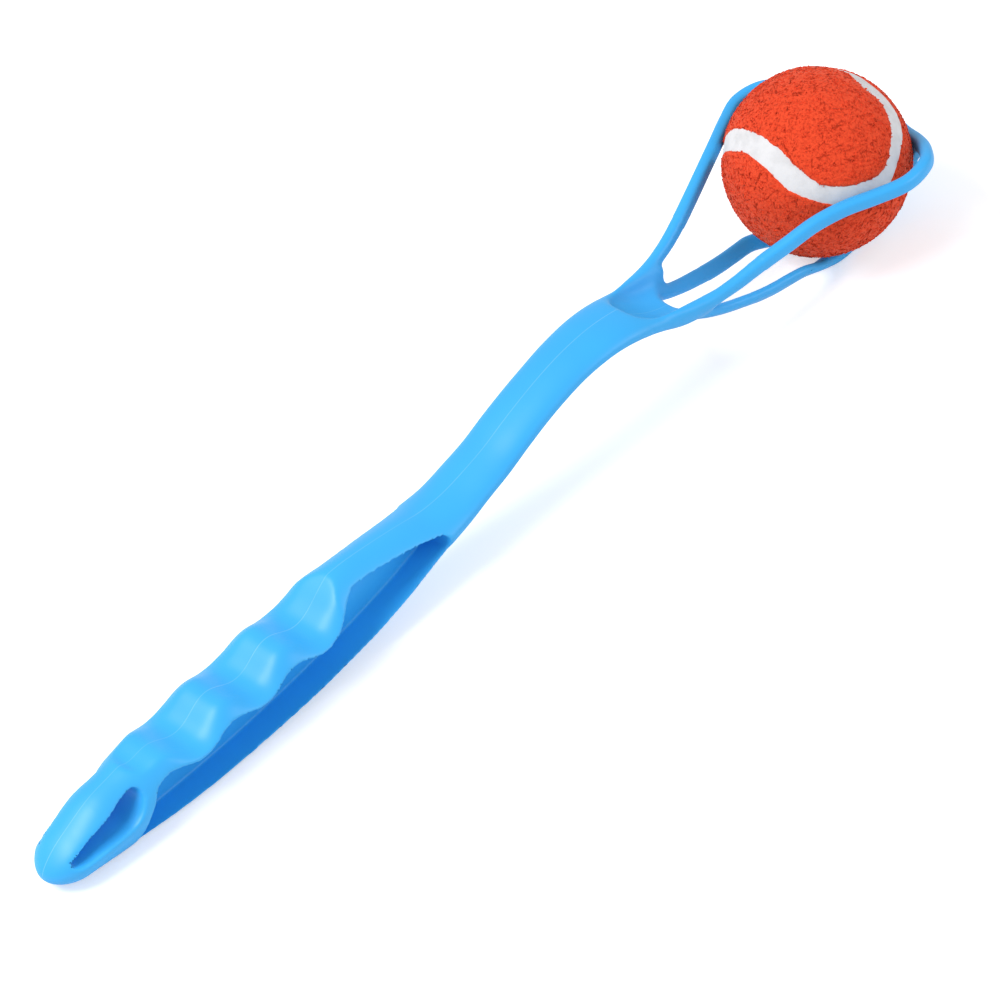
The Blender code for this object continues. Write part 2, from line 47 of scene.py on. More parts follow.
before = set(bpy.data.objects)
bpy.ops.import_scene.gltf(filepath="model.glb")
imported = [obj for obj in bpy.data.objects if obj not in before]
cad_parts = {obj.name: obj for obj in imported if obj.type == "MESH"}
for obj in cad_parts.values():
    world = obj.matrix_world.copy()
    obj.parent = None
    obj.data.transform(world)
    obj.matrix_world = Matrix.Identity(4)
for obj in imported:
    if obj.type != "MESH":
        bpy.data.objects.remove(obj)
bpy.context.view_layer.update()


def length(name, description, default):
    """A size in metres that a user may change."""
    return FloatProperty(
        name=name, description=description, default=default, min=0, unit="LENGTH", precision=5)


def share(name, description, default):
    """A plain number between nothing and a few."""
    return FloatProperty(name=name, description=description, default=default, min=0)


def turn(name, description, degrees):
    """An angle, given in degrees."""
    return FloatProperty(name=name, description=description, default=degrees * pi / 180, unit="ROTATION")


def watts(name, description, default):
    """Power of a lamp."""
    return FloatProperty(name=name, description=description, default=default, min=0, unit="POWER")


def colour(name, description, default):
    """A linear colour."""
    return FloatVectorProperty(
        name=name, description=description, default=default, size=3, subtype="COLOR", min=0, max=1)


class HandleSizes(bpy.types.PropertyGroup):
    """Sizes of the grip, the neck and the root."""
    grip_length: length("Grip length", "Hand end to the start of the neck", 0.1736)
    neck_length: length("Neck length", "End of the grip to the crest", 0.082)
    root_length: length("Root length", "Crest to the start of the cage", 0.046)
    grip_depth: length("Grip depth", "Tallest section of the grip", 0.030)
    grip_width: length("Grip width", "Widest section of the grip", 0.0304)
    neck_depth: length("Neck depth", "Thickness of the neck", 0.0084)
    neck_width: length("Neck width", "Width of the neck", 0.0256)
    root_depth: length("Root depth", "Thickness of the root", 0.0130)
    root_width: length("Root width", "Width of the root", 0.0336)
    crest_height: length("Crest height", "Middle of the neck over the floor at its highest", 0.0404)
    end_rounding: length("End rounding", "Length of the rounded hand end", 0.011)
    belly_trim: length("Belly trim", "How far the belly is pressed flat on the floor", 0.00018)
    groove_pitch: length("Groove pitch", "Finger groove to finger groove", 0.0270)
    groove_depth: length("Groove depth", "Ridge to valley of the finger grooves", 0.0051)
    groove_start: length("Groove start", "Hand end to the first groove", 0.0356)
    groove_run: length("Groove run", "Length of the row of grooves", 0.0999)
    groove_entry: length("Groove entry", "Length over which the row runs out at each end", 0.0129)
    groove_floor_height: length("Groove floor", "Mean height of the grooves at the hand end", 0.0209)
    groove_floor_rise: length("Groove rise", "How far the row climbs towards the neck", 0.0050)
    groove_flat: length("Groove flat", "Half width of the flat of the grooves", 0.0070)
    groove_fall: length("Groove fall", "How far the grooves fall at the edge of the bar", 0.0032)
    groove_fall_swell: length("Fall swell", "How much more they fall at a ridge", 0.0014)
    bar_half_width: length("Bar half width", "Where the fall is measured", 0.0132)
    bar_thickness: length("Bar thickness", "Grip bar between the grooves and the pocket", 0.0041)
    bar_swell: length("Bar swell", "How much thicker the bar is at a ridge", 0.0018)
    pocket_roof_wall: length("Roof wall", "Wall over the pocket's tip", 0.0038)
    flange_thickness: length("Flange thickness", "Lower flange of the grip", 0.0022)
    web_thickness: length("Web thickness", "Middle wall between the two pockets", 0.0026)
    pocket_start: length("Pocket start", "Hand end to the pocket's lower corner", 0.0301)
    pocket_lean: length("Pocket lean", "How far the rib beside the hang hole leans", 0.0130)
    pocket_foot: length("Pocket foot", "Chamfer at the pocket's lower corner", 0.0015)
    pocket_end_radius: length("Pocket tip", "Rounding at the neck end of the pocket", 0.0030)
    hole_start: length("Hole start", "Hand end to the hang hole", 0.0066)
    hole_length: length("Hole length", "Length of the hang hole", 0.0310)
    hole_height: length("Hole height", "Height of the hang hole", 0.0112)
    hole_floor_height: length("Hole floor", "Lower edge of the hang hole over the floor", 0.0099)


class CageSizes(bpy.types.PropertyGroup):
    """Sizes of the four ribs, the lip and the hollow of the root."""
    cage_length: length("Cage length", "Root to the middle of the ball", 0.0642)
    lip_reach: length("Lip reach", "Middle of the ball to the lip", 0.0362)
    rim_half_width: length("Rim half width", "Middle of the cage to the middle of a rim arm", 0.0388)
    rim_height: length("Rim height", "Rim over the middle of the ball", 0.0068)
    lip_drop: length("Lip drop", "Lip under the middle of the ball", 0.0095)
    arm_thickness: length("Arm thickness", "Rim arm across", 0.0047)
    arm_height: length("Arm height", "Rim arm in height", 0.0055)
    arm_root: length("Arm root", "Rim arm where it leaves the root", 0.0053)
    lip_height: length("Lip height", "Height of the lip", 0.0068)
    cradle_width: length("Cradle width", "Cradle rib across", 0.0060)
    cradle_height: length("Cradle height", "Cradle rib in height", 0.0036)
    cradle_root: length("Cradle root", "Cradle rib where it leaves the root", 0.0048)
    cradle_bow: length("Cradle bow", "Distance between the two ribs at their widest", 0.0264)
    pad_thickness: length("Pad thickness", "Thickness of the pad under the ball", 0.0034)
    pad_spread: length("Pad spread", "Width of the pad under the ball", 0.0110)
    tongue_width: length("Tongue width", "Width of the tongue at the lip", 0.0500)
    scoop_start: length("Scoop start", "Crest to the hollow in the root", 0.0150)
    scoop_half_width: length("Scoop half width", "Half width of the hollow in the root", 0.0108)
    scoop_round_width: length("Scoop round", "Length over which the hollow widens", 0.0125)
    scoop_round_depth: length("Scoop dip", "Length over which the hollow deepens", 0.0120)
    scoop_floor: length("Scoop floor", "Wall under the hollow", 0.0034)
    slot_start: length("Slot start", "Crest to the gap between the cradle ribs", 0.0362)
    slot_half_width: length("Slot half width", "Half width of that gap at its end", 0.0105)
    crotch_radius: length("Crotch radius", "Round end of the gap between rim and cradle", 0.0033)


class BallSizes(bpy.types.PropertyGroup):
    """Sizes of the ball, its felt and its seam."""
    diameter: length("Ball diameter", "Across the felt", 0.0640)
    felt_thickness: length("Felt thickness", "Felt over the rubber core", 0.0032)
    seam_width: length("Seam width", "Width of the white rubber seam", 0.0074)
    seam_sink: length("Seam sink", "Seam under the top of the felt", 0.0003)
    ragged: length("Ragged edge", "How far the felt edge wanders", 0.00045)
    nap: length("Nap", "Unevenness of the felt surface", 0.00030)
    fibre_length: length("Fibre length", "Length of a loose fibre", 0.0010)
    fibre_width: length("Fibre width", "Thickness of a loose fibre", 0.00006)
    piece_gap: length("Gap", "Clearance between touching pieces", 0.0003)
    seam_curve: share("Seam curve", "How strongly the seam swings to and fro", 0.2254)
    turn_x: turn("Turn X", "How the ball is turned in the cage", -121.98)
    turn_y: turn("Turn Y", "How the ball is turned in the cage", 44.95)
    turn_z: turn("Turn Z", "How the ball is turned in the cage", 158.36)


class FinishColours(bpy.types.PropertyGroup):
    """Colours of the finishes."""
    plastic: colour("Plastic", "Sky blue of the moulding", (0.034, 0.412, 0.885))
    felt: colour("Felt", "Orange red of the felt", (0.880, 0.080, 0.026))
    # Painted shade: the felt between the fibres is given this darker colour
    felt_dark: colour("Felt in the shade of the nap", "Between the fibres", (0.700, 0.055, 0.018))
    seam: colour("Seam", "Pale rubber of the seam", (0.730, 0.725, 0.740))
    core: colour("Core", "Dark rubber of the hollow core", (0.030, 0.030, 0.032))


class StageSettings(bpy.types.PropertyGroup):
    """Floor, lamps and camera."""
    floor_width: length("Floor width", "Side of the square floor", 8.0)
    key_power: watts("Key", "Power of the large soft box", 17.0)
    fill_power: watts("Fill", "Power of the low side box", 6.0)
    sky: share("Sky", "Brightness of the even surroundings", 0.58)
    focal_length: share("Focal length", "Camera lens in millimetres", 207.58)
    samples_seed: IntProperty(name="Seed", description="Start of every scattered pattern", default=7)


# Handle outline. Each row holds shares: place along its span, height of the middle of the section over the
# floor, depth, width, then the roundness powers under and over it and how much its top narrows
GRIP_SHARES = (
    (0.000, 0.168, 0.353, 0.651, 2.0, 2.2, 0.05),
    (0.061, 0.226, 0.490, 0.750, 2.1, 2.2, 0.10),
    (0.136, 0.275, 0.727, 0.842, 2.2, 2.2, 0.15),
    (0.194, 0.296, 0.798, 0.875, 2.5, 2.1, 0.18),
    (0.280, 0.332, 0.893, 0.928, 3.2, 2.4, 0.22),
    (0.366, 0.359, 0.967, 0.954, 3.6, 2.6, 0.20),
    (0.453, 0.382, 1.003, 0.974, 3.8, 2.6, 0.20),
    (0.539, 0.402, 0.990, 0.987, 4.0, 2.6, 0.20),
    (0.626, 0.425, 0.963, 0.993, 4.2, 2.6, 0.20),
    (0.712, 0.449, 0.903, 0.987, 4.2, 2.4, 0.24),
    (0.798, 0.479, 0.830, 0.974, 4.2, 2.0, 0.30),
    (0.885, 0.495, 0.667, 0.934, 3.8, 2.0, 0.28),
    (0.942, 0.508, 0.524, 0.895, 3.4, 2.0, 0.27),
    (1.000, 0.522, 0.364, 0.855, 3.0, 2.0, 0.24),
)
NECK_SHARES = (
    (0.122, 0.544, 1.120, 0.945, 2.8, 2.1, 0.20),
    (0.244, 0.603, 0.976, 0.914, 2.6, 2.2, 0.16),
    (0.366, 0.666, 0.976, 0.890, 2.5, 2.2, 0.12),
    (0.488, 0.757, 0.988, 0.876, 2.5, 2.3, 0.10),
    (0.610, 0.840, 0.976, 0.868, 2.5, 2.3, 0.10),
    (0.732, 0.907, 0.976, 0.872, 2.5, 2.3, 0.12),
    (0.854, 0.957, 0.940, 0.900, 2.5, 2.3, 0.12),
    (1.000, 0.974, 0.940, 0.953, 2.5, 2.3, 0.12),
)
ROOT_SHARES = (
    (0.217, 0.943, 0.646, 0.762, 2.5, 2.4, 0.12),
    (0.435, 0.871, 0.738, 0.792, 2.5, 2.4, 0.10),
    (0.652, 0.773, 0.854, 0.840, 2.4, 2.4, 0.06),
    (0.826, 0.720, 0.831, 0.870, 2.2, 2.4, 0.03),
    (1.000, 0.700, 0.677, 0.900, 2.2, 2.4, 0.00),
)

# Half of the rim, from inside the root to the lip. Each row holds shares: distance from the ball's middle
# along the cage or the lip, height as a share of the rim's height or the lip's drop, and half width
ARM_BACK_SHARES = (
    (-1.441, 0.196, 0.186),
    (-1.280, -0.228, 0.289),
    (-1.109, -0.496, 0.359),
    (-0.934, -0.451, 0.417),
    (-0.764, -0.093, 0.485),
    (-0.598, 0.295, 0.570),
    (-0.433, 0.708, 0.658),
    (-0.269, 0.896, 0.768),
    (-0.108, 0.893, 0.896),
)
ARM_FRONT_SHARES = (
    (0.106, -0.633, 0.999),
    (0.409, -0.549, 0.946),
    (0.625, -0.190, 0.752),
    (0.780, 0.282, 0.522),
    (0.900, 0.740, 0.272),
    (1.000, 1.000, 0.000),
)

# A cradle rib, from inside the root to the ball: shares of the cage's length before the ball's middle, of
# the ball's height over the floor and of the cradle's half bow
CRADLE_SHARES = (
    (-1.314, 0.893, 0.506),
    (-1.215, 0.817, 0.591),
    (-1.121, 0.720, 0.658),
    (-1.026, 0.625, 0.714),
    (-0.926, 0.547, 0.765),
    (-0.823, 0.483, 0.813),
    (-0.720, 0.424, 0.859),
    (-0.614, 0.379, 0.899),
    (-0.507, 0.349, 0.930),
    (-0.400, 0.315, 0.966),
    (-0.300, 0.236, 0.948),
    (-0.205, 0.152, 0.826),
    (-0.106, 0.083, 0.709),
    (0.000, 0.053, 0.621),
)

# The felt is cut by hand, so the seam wanders. Each row holds shares: place round the seam, then sideways
# shift and half width in seam widths
SEAM_WANDER = (
    (0.000, 0.00, 0.50),
    (0.440, 0.05, 0.48),
    (0.478, 0.28, 0.45),
    (0.495, -0.05, 0.50),
    (0.510, 0.00, 0.58),
    (0.530, 0.25, 0.56),
    (0.546, 0.21, 0.57),
    (0.560, 0.09, 0.51),
    (0.581, -0.13, 0.41),
    (0.602, -0.12, 0.38),
    (0.617, 0.03, 0.42),
    (0.630, 0.06, 0.46),
    (0.650, 0.03, 0.47),
    (0.669, 0.08, 0.46),
    (0.689, 0.17, 0.43),
    (0.705, 0.22, 0.40),
    (0.716, 0.20, 0.46),
    (0.732, 0.16, 0.55),
    (0.748, -0.01, 0.55),
    (0.762, -0.11, 0.54),
    (0.780, -0.12, 0.53),
    (0.796, -0.08, 0.50),
    (0.818, 0.08, 0.54),
    (0.853, 0.19, 0.47),
    (0.920, 0.05, 0.50),
    (1.000, 0.00, 0.50),
)

# Outline of the drop-shaped hang hole: shares of its length and of its height
HOLE_SHARES = (
    (0.010, 0.089),
    (0.032, 0.205),
    (0.210, 0.429),
    (0.494, 0.688),
    (0.745, 0.875),
    (0.910, 0.982),
    (0.974, 0.973),
    (1.000, 0.866),
    (0.987, 0.688),
    (0.942, 0.491),
    (0.858, 0.277),
    (0.758, 0.152),
    (0.613, 0.098),
    (0.400, 0.054),
    (0.171, 0.000),
    (0.052, 0.009),
)


# Forms of the sections: points round them and how square they are
SECTION_POINTS = 56
RIB_POINTS = 24
RIB_POWER = 3.0
GROOVE_LIFT_POWER = 2.2
GROOVE_FALL_POWER = 1.7
SCOOP_WIDTH_POWER = 2.8
SCOOP_DEPTH_POWER = 2.2
SCOOP_SECTION_POWER = 2.6
SLOT_POWER = 2.4
SCOOP_CROWDING = 1.6

# Shares of a rib's length at which it swells, leans, turns level or flattens into the pad
ARM_SWELL_SHARE = 0.45
ARM_SWELL_POWER = 1.5
LIP_START_SHARE = 0.7
CRADLE_SWELL_SHARE = 0.35
LEAN_SHARE = 0.6
LEVEL_START_SHARE = 0.45
LEVEL_RUN_SHARE = 0.35
PAD_START_SHARE = 0.33
PAD_RUN_SHARE = 0.15
LEAN_ROOT = 60 * pi / 180
LEAN_BALL = 19 * pi / 180

# The tongue: where it starts and ends round the ball, and how it spreads
TONGUE_START = -8 * pi / 180
TONGUE_END = 73.9 * pi / 180
TONGUE_ROOT_SHARE = 0.311
TONGUE_SPREAD_POWER = 4

# Round end between rim and cradle, in shares of its radius under and before the root's end
CROTCH_DROP_SHARE = 0.7
CROTCH_PLACE_SHARE = 0.6

# Rounding of the edges: passes over each zone, and the zones' ends in shares of the root's length
EDGE_PASSES = 16
BAR_PASSES = 14
FORK_PASSES = 18
SPOON_PASSES = 30
CROTCH_PASSES = 10
CROTCH_REACH_SHARES = (0.12, 0.19, 0.26, 0.34)
CROTCH_MIDDLE_SHARE = 0.08
FORK_SHARE = 0.35
SPOON_START_SHARE = 0.2
BAR_UNDER_SHARE = 0.35
MOULDING_TRIANGLES = 190000

# Sides of the picture and the camera's place from the middle of the ball
CAMERA_RIGHT = (0.6928, -0.6986, -0.1788)
CAMERA_BACK = (-0.4337, -0.6017, 0.6707)
CAMERA_PLACE = (-0.9766, -1.1320, 1.2329)


def spline(rows, place):
    """Smooth values through rows whose first entry rises, read at a place."""
    last = len(rows) - 1
    index = 0
    while index < last - 1 and rows[index + 1][0] <= place:
        index += 1
    before = rows[max(index - 1, 0)]
    start, end = rows[index], rows[index + 1]
    after = rows[min(index + 2, last)]
    span = end[0] - start[0]
    t = (place - start[0]) / span
    values = []
    for column in range(1, len(start)):
        slope_in = (end[column] - before[column]) / (end[0] - before[0]) * span
        slope_out = (after[column] - start[column]) / (after[0] - start[0]) * span
        values.append(
            start[column] * (2 * t ** 3 - 3 * t ** 2 + 1)
            + slope_in * (t ** 3 - 2 * t ** 2 + t)
            + end[column] * (3 * t ** 2 - 2 * t ** 3)
            + slope_out * (t ** 3 - t ** 2)
        )
    return values


def curve_through(points, steps):
    """Evenly spread places on a smooth curve through the given points."""
    lengths = [0]
    for first, second in zip(points, points[1:]):
        lengths.append(lengths[-1] + (second - first).length)
    rows = [(distance, *point) for distance, point in zip(lengths, points)]
    return [Vector(spline(rows, lengths[-1] * step / steps)) for step in range(steps + 1)]


def closed_curve(points, steps):
    """Evenly spread places on a smooth closed curve through the given points."""
    looped = points[-2:] + points + points[:3]
    lengths = [0]
    for first, second in zip(looped, looped[1:]):
        lengths.append(lengths[-1] + (second - first).length)
    rows = [(distance, *point) for distance, point in zip(lengths, looped)]
    start, end = lengths[2], lengths[2 + len(points)]
    return [Vector(spline(rows, start + (end - start) * step / steps)) for step in range(steps)]


def rounded_power(base, power):
    """Keep the sign of a sine or cosine while bending its curve."""
    return (1 if base >= 0 else -1) * abs(base) ** (2 / power)


def bulge(share, power):
    """Rise from nothing to one like a quarter of a rounded square."""
    return (1 - (1 - share) ** power) ** (1 / power)


def ease(value):
    """Zero below nothing, one above one, smooth between."""
    value = min(max(value, 0), 1)
    return value * value * (3 - 2 * value)


class Layout:
    """Places that follow from the chosen sizes."""

    def __init__(self, scene):
        self.handle = scene.thrower_handle
        self.cage = scene.thrower_cage
        self.ball = scene.thrower_ball
        handle, cage, ball = self.handle, self.cage, self.ball
        self.crest_x = handle.grip_length + handle.neck_length
        self.root_end_x = self.crest_x + handle.root_length
        ball_x = self.root_end_x + cage.cage_length
        self.length = ball_x + cage.lip_reach + cage.arm_thickness / 2
        self.middle_x = self.length / 2
        self.ball_radius = ball.diameter / 2
        self.pad_radius = self.ball_radius + ball.piece_gap + cage.pad_thickness / 2
        self.pad_side = cage.pad_spread / 2
        self.rib_radius = self.pad_radius + ball.piece_gap
        rest = sqrt(self.pad_radius ** 2 - self.pad_side ** 2) + cage.pad_thickness / 2 - handle.belly_trim
        self.ball_height = rest
        self.centre = Vector((ball_x - self.middle_x, 0, rest))
        self.stations = self.handle_rows()

    def handle_rows(self):
        """Handle stations as real sizes: place, middle height, depth, width, powers, narrowing."""
        handle = self.handle
        rows = []
        for start, span, depth_size, width_size, table in (
            (0, handle.grip_length, handle.grip_depth, handle.grip_width, GRIP_SHARES),
            (handle.grip_length, handle.neck_length, handle.neck_depth, handle.neck_width, NECK_SHARES),
            (self.crest_x, handle.root_length, handle.root_depth, handle.root_width, ROOT_SHARES),
        ):
            for along, height, depth, width, *form in table:
                rows.append((
                    start + along * span,
                    height * handle.crest_height - handle.belly_trim,
                    depth * depth_size,
                    width * width_size,
                    *form,
                ))
        return rows

    def top(self, place):
        """Height of the uncut top of the handle."""
        height, depth = spline(self.stations, place)[:2]
        return height + depth / 2

    def bottom(self, place):
        """Height of the underside of the handle."""
        height, depth = spline(self.stations, place)[:2]
        return height - depth / 2

    def groove_wave(self, place):
        """One at a ridge between two fingers, minus one in a groove."""
        first_ridge = self.handle.groove_start + self.handle.groove_entry
        return cos(tau * (place - first_ridge) / self.handle.groove_pitch)

    def groove_height(self, place):
        """Height of the finger surface, without its two ends."""
        handle = self.handle
        along = (place - handle.groove_start) / handle.groove_run
        mean = handle.groove_floor_height + handle.groove_floor_rise * along
        return mean + handle.groove_depth / 2 * self.groove_wave(place)

    def pocket_roof(self, place):
        """Height of the pocket's roof, which follows the finger grooves."""
        handle = self.handle
        under_grooves = (
            self.groove_height(place) - handle.bar_thickness
            - handle.bar_swell / 2 * self.groove_wave(place)
        )
        under_top = self.top(place) - handle.pocket_roof_wall
        start = handle.groove_start + handle.groove_run - handle.groove_entry
        blend = ease((place - start) / handle.groove_entry)
        return under_grooves * (1 - blend) + under_top * blend


def loft(rings, size):
    """Closed skin bridged over rings, each ring a list of points of the same length."""
    builder = bmesh.new()
    edges = []
    for ring in rings:
        made = bmesh.ops.create_circle(builder, cap_ends=False, segments=size, radius=1)
        for vert, point in zip(made["verts"], ring):
            vert.co = point
        edges.append(list({edge for vert in made["verts"] for edge in vert.link_edges}))
    for first, second in zip(edges, edges[1:]):
        bmesh.ops.bridge_loops(builder, edges=first + second)
    for end in (edges[0], edges[-1]):
        bmesh.ops.contextual_create(builder, geom=end)
    bmesh.ops.recalc_face_normals(builder, faces=builder.faces)
    return builder


def prism(outline, low_y, high_y):
    """Straight block across the handle with an outline in the XZ plane."""
    builder = bmesh.new()
    verts = [builder.verts.new((x, low_y, z)) for x, z in outline]
    face = builder.faces.new(verts)
    moved = bmesh.ops.extrude_face_region(builder, geom=[face])
    top = [item for item in moved["geom"] if isinstance(item, bmesh.types.BMVert)]
    bmesh.ops.translate(builder, verts=top, vec=(0, high_y - low_y, 0))
    bmesh.ops.recalc_face_normals(builder, faces=builder.faces)
    return builder


def new_object(name, builder, finish=None, smooth=True):
    """Turn a bmesh into a named object at the origin."""
    mesh = bpy.data.meshes.new(name)
    builder.to_mesh(mesh)
    builder.free()
    if smooth:
        mesh.shade_smooth()
    if finish:
        mesh.materials.append(finish)
    item = bpy.data.objects.new(name, mesh)
    bpy.context.scene.collection.objects.link(item)
    return item


def combine(item, helper, operation):
    """Join a helper shape to a piece, or cut it away."""
    helper.hide_render = True
    modifier = item.modifiers.new(helper.name, "BOOLEAN")
    modifier.operation = operation
    modifier.solver = "EXACT"
    modifier.object = helper


def settled(item):
    """The piece's mesh with all its modifiers worked in."""
    graph = bpy.context.evaluated_depsgraph_get()
    mesh = bpy.data.meshes.new_from_object(item.evaluated_get(graph))
    return mesh


def section_ring(layout, place, scale=1):
    """Points of the handle's closed section at a place along the length."""
    height, depth, width, under, over, narrowing = spline(layout.stations, place)
    points = []
    for step in range(SECTION_POINTS):
        angle = tau * step / SECTION_POINTS
        rise = rounded_power(sin(angle), over if sin(angle) >= 0 else under)
        side = rounded_power(cos(angle), over if sin(angle) >= 0 else under)
        side *= 1 - narrowing * max(rise, 0)
        points.append(Vector((
            place - layout.middle_x,
            side * width / 2 * scale,
            height + rise * depth / 2 * scale,
        )))
    return points


def handle_skin(layout):
    """The solid handle before anything is cut from it."""
    rounding = layout.handle.end_rounding
    rings = []
    end_steps = 14
    for step in range(1, end_steps):
        place = rounding * (1 - cos(pi / 2 * step / end_steps))
        scale = sqrt(1 - (1 - place / rounding) ** 2)
        rings.append(section_ring(layout, place, scale))
    rest_steps = 150
    for step in range(rest_steps + 1):
        place = rounding + (layout.root_end_x - rounding) * step / rest_steps
        rings.append(section_ring(layout, place))
    return loft(rings, SECTION_POINTS)


def groove_block(layout):
    """Cutter over the grip: its crowned underside is the row of finger grooves."""
    handle = layout.handle
    over = handle.grip_depth
    steps, columns = 150, 40
    rings = []
    for step in range(steps + 1):
        place = handle.groove_start + handle.groove_run * step / steps
        from_end = min(place - handle.groove_start, handle.groove_start + handle.groove_run - place)
        height = layout.groove_height(place)
        lift = max(1 - from_end / handle.groove_entry, 0)
        height += (layout.top(place) + handle.bar_thickness - height) * lift ** GROOVE_LIFT_POWER
        fall = handle.groove_fall + handle.groove_fall_swell * layout.groove_wave(place)
        ring = []
        for column in range(columns + 1):
            across = over * (2 * column / columns - 1)
            beyond = max(abs(across) - handle.groove_flat, 0) / (handle.bar_half_width - handle.groove_flat)
            drop = fall * beyond ** GROOVE_FALL_POWER
            ring.append(Vector((place - layout.middle_x, across, height - drop)))
        for across in (over, -over):
            ring.append(Vector((place - layout.middle_x, across, handle.crest_height + over)))
        rings.append(ring)
    return loft(rings, columns + 3)


def pocket_block(layout, side):
    """Cutter for the long pocket on one side of the web."""
    handle = layout.handle
    floor_steps, roof_steps, tip_steps = 50, 120, 9
    tip = handle.grip_length - handle.pocket_end_radius
    roof_start = handle.pocket_start + handle.pocket_lean
    outline = [(handle.pocket_start, layout.bottom(handle.pocket_start) + handle.flange_thickness
                + handle.pocket_foot)]
    foot = handle.pocket_start + handle.pocket_foot
    for step in range(floor_steps + 1):
        place = foot + (tip - foot) * step / floor_steps
        outline.append((place, layout.bottom(place) + handle.flange_thickness))
    low = layout.bottom(tip) + handle.flange_thickness
    middle = (low + layout.pocket_roof(tip)) / 2
    half = layout.pocket_roof(tip) - middle
    for step in range(1, tip_steps):
        angle = -pi / 2 + pi * step / tip_steps
        outline.append((tip + handle.pocket_end_radius * cos(angle), middle + half * sin(angle)))
    for step in range(roof_steps + 1):
        place = tip - (tip - roof_start) * step / roof_steps
        outline.append((place, layout.pocket_roof(place)))
    outline = [(x - layout.middle_x, z) for x, z in outline]
    near, far = handle.web_thickness / 2, handle.grip_width
    return prism(outline, near, far) if side > 0 else prism(outline, -far, -near)


def hole_block(layout):
    """Cutter for the drop-shaped hang hole, its outline rounded by a closed curve."""
    handle = layout.handle
    corners = [
        Vector((
            handle.hole_start + along * handle.hole_length - layout.middle_x,
            0,
            handle.hole_floor_height + height * handle.hole_height,
        ))
        for along, height in HOLE_SHARES
    ]
    outline = [(point.x, point.z) for point in closed_curve(corners, 140)]
    return prism(outline, -handle.grip_width, handle.grip_width)


def rib(path, sizes, side_axis):
    """Band with rounded corners swept along a path, with its two widths at each place."""
    rings = []
    last = len(path) - 1
    for index, point in enumerate(path):
        ahead = (path[min(index + 1, last)] - path[max(index - 1, 0)]).normalized()
        side = side_axis(index / last)
        side = (side - ahead * side.dot(ahead)).normalized()
        across = ahead.cross(side)
        along_side, along_across = sizes(index / last)
        ring = []
        for step in range(RIB_POINTS):
            angle = tau * step / RIB_POINTS
            ring.append(
                point
                + side * along_side / 2 * rounded_power(cos(angle), RIB_POWER)
                + across * along_across / 2 * rounded_power(sin(angle), RIB_POWER)
            )
        rings.append(ring)
    return loft(rings, RIB_POINTS)


def rim(layout):
    """The rim: far arm, lip and near arm as one band."""
    cage = layout.cage

    def sizes(place):
        from_root = min(place, 1 - place) * 2
        root = max(1 - from_root / ARM_SWELL_SHARE, 0) ** ARM_SWELL_POWER
        lip = max(from_root - LIP_START_SHARE, 0) / (1 - LIP_START_SHARE)
        height = cage.arm_height + (cage.arm_root - cage.arm_height) * root
        height += (cage.lip_height - cage.arm_height) * lip
        return height, cage.arm_thickness + (cage.arm_root - cage.arm_thickness) * root

    return rib(rim_path(layout), sizes, lambda place: Vector((0, 0, 1)))


def cradle(layout, side):
    """One cradle rib, from the root to the pad under the ball."""
    cage = layout.cage
    centre = layout.centre
    half_bow = cage.cradle_bow / 2
    points = []
    for along, height, spread in CRADLE_SHARES:
        points.append(Vector((
            centre.x + along * cage.cage_length, side * spread * half_bow, height * layout.ball_height)))
    spread = points[-1].y
    reach = sqrt(layout.rib_radius ** 2 - spread ** 2)
    for step in range(1, 4):
        angle = TONGUE_END * step / 6
        points.append(centre + Vector((reach * sin(angle), spread, -reach * cos(angle))))

    def sizes(place):
        root = max(1 - place / CRADLE_SWELL_SHARE, 0)
        flat = min(max((place - PAD_START_SHARE) / PAD_RUN_SHARE, 0), 1)
        height = cage.cradle_height + (cage.cradle_root - cage.cradle_height) * root
        return cage.cradle_width, height + (cage.pad_thickness - height) * flat

    def leaning(place):
        lean = LEAN_ROOT + (LEAN_BALL - LEAN_ROOT) * min(place / LEAN_SHARE, 1)
        lean += (pi / 2 - lean) * ease((place - LEVEL_START_SHARE) / LEVEL_RUN_SHARE)
        return Vector((0, side * sin(lean), cos(lean)))

    return rib(curve_through(points, 120), sizes, leaning)


def rim_path(layout):
    """Middle line of the rim, from one root over the lip to the other."""
    cage = layout.cage
    half = []
    for along, height, half_width in ARM_BACK_SHARES:
        half.append(layout.centre + Vector((
            along * cage.cage_length, half_width * cage.rim_half_width, height * cage.rim_height)))
    for along, drop, half_width in ARM_FRONT_SHARES:
        half.append(layout.centre + Vector((
            along * cage.lip_reach, half_width * cage.rim_half_width, -drop * cage.lip_drop)))
    other = [Vector((point.x, -point.y, point.z)) for point in reversed(half[:-1])]
    return curve_through(half + other, 240)


def tongue(layout):
    """Curved plate that spreads from the cradle ribs under the ball up to the inside of the lip."""
    cage = layout.cage
    front = [point - layout.centre for point in rim_path(layout) if point.x > layout.centre.x]
    front.sort(key=lambda point: point.y)
    rows, columns = 48, 24
    half_spread = cage.cradle_bow * TONGUE_ROOT_SHARE
    rings = []
    for step in range(rows + 1):
        along = step / rows
        opened = along ** TONGUE_SPREAD_POWER
        ring = []
        for thickness, order in (
            (-cage.pad_thickness / 2, range(columns + 1)),
            (cage.pad_thickness / 2, range(columns, -1, -1)),
        ):
            for column in order:
                across = 2 * column / columns - 1
                reach = half_spread + (cage.tongue_width / 2 - half_spread) * opened
                end = min(front, key=lambda point: abs(point.y - across * reach))
                lean = half_spread / layout.pad_radius * across
                start = Vector((sin(TONGUE_START), sin(lean), -cos(TONGUE_START) * cos(lean))).normalized()
                direction = start.slerp(end.normalized(), along)
                radius = layout.pad_radius + (end.length - layout.pad_radius) * opened
                ring.append(layout.centre + direction * (radius + thickness))
        rings.append(ring)
    return loft(rings, 2 * (columns + 1))


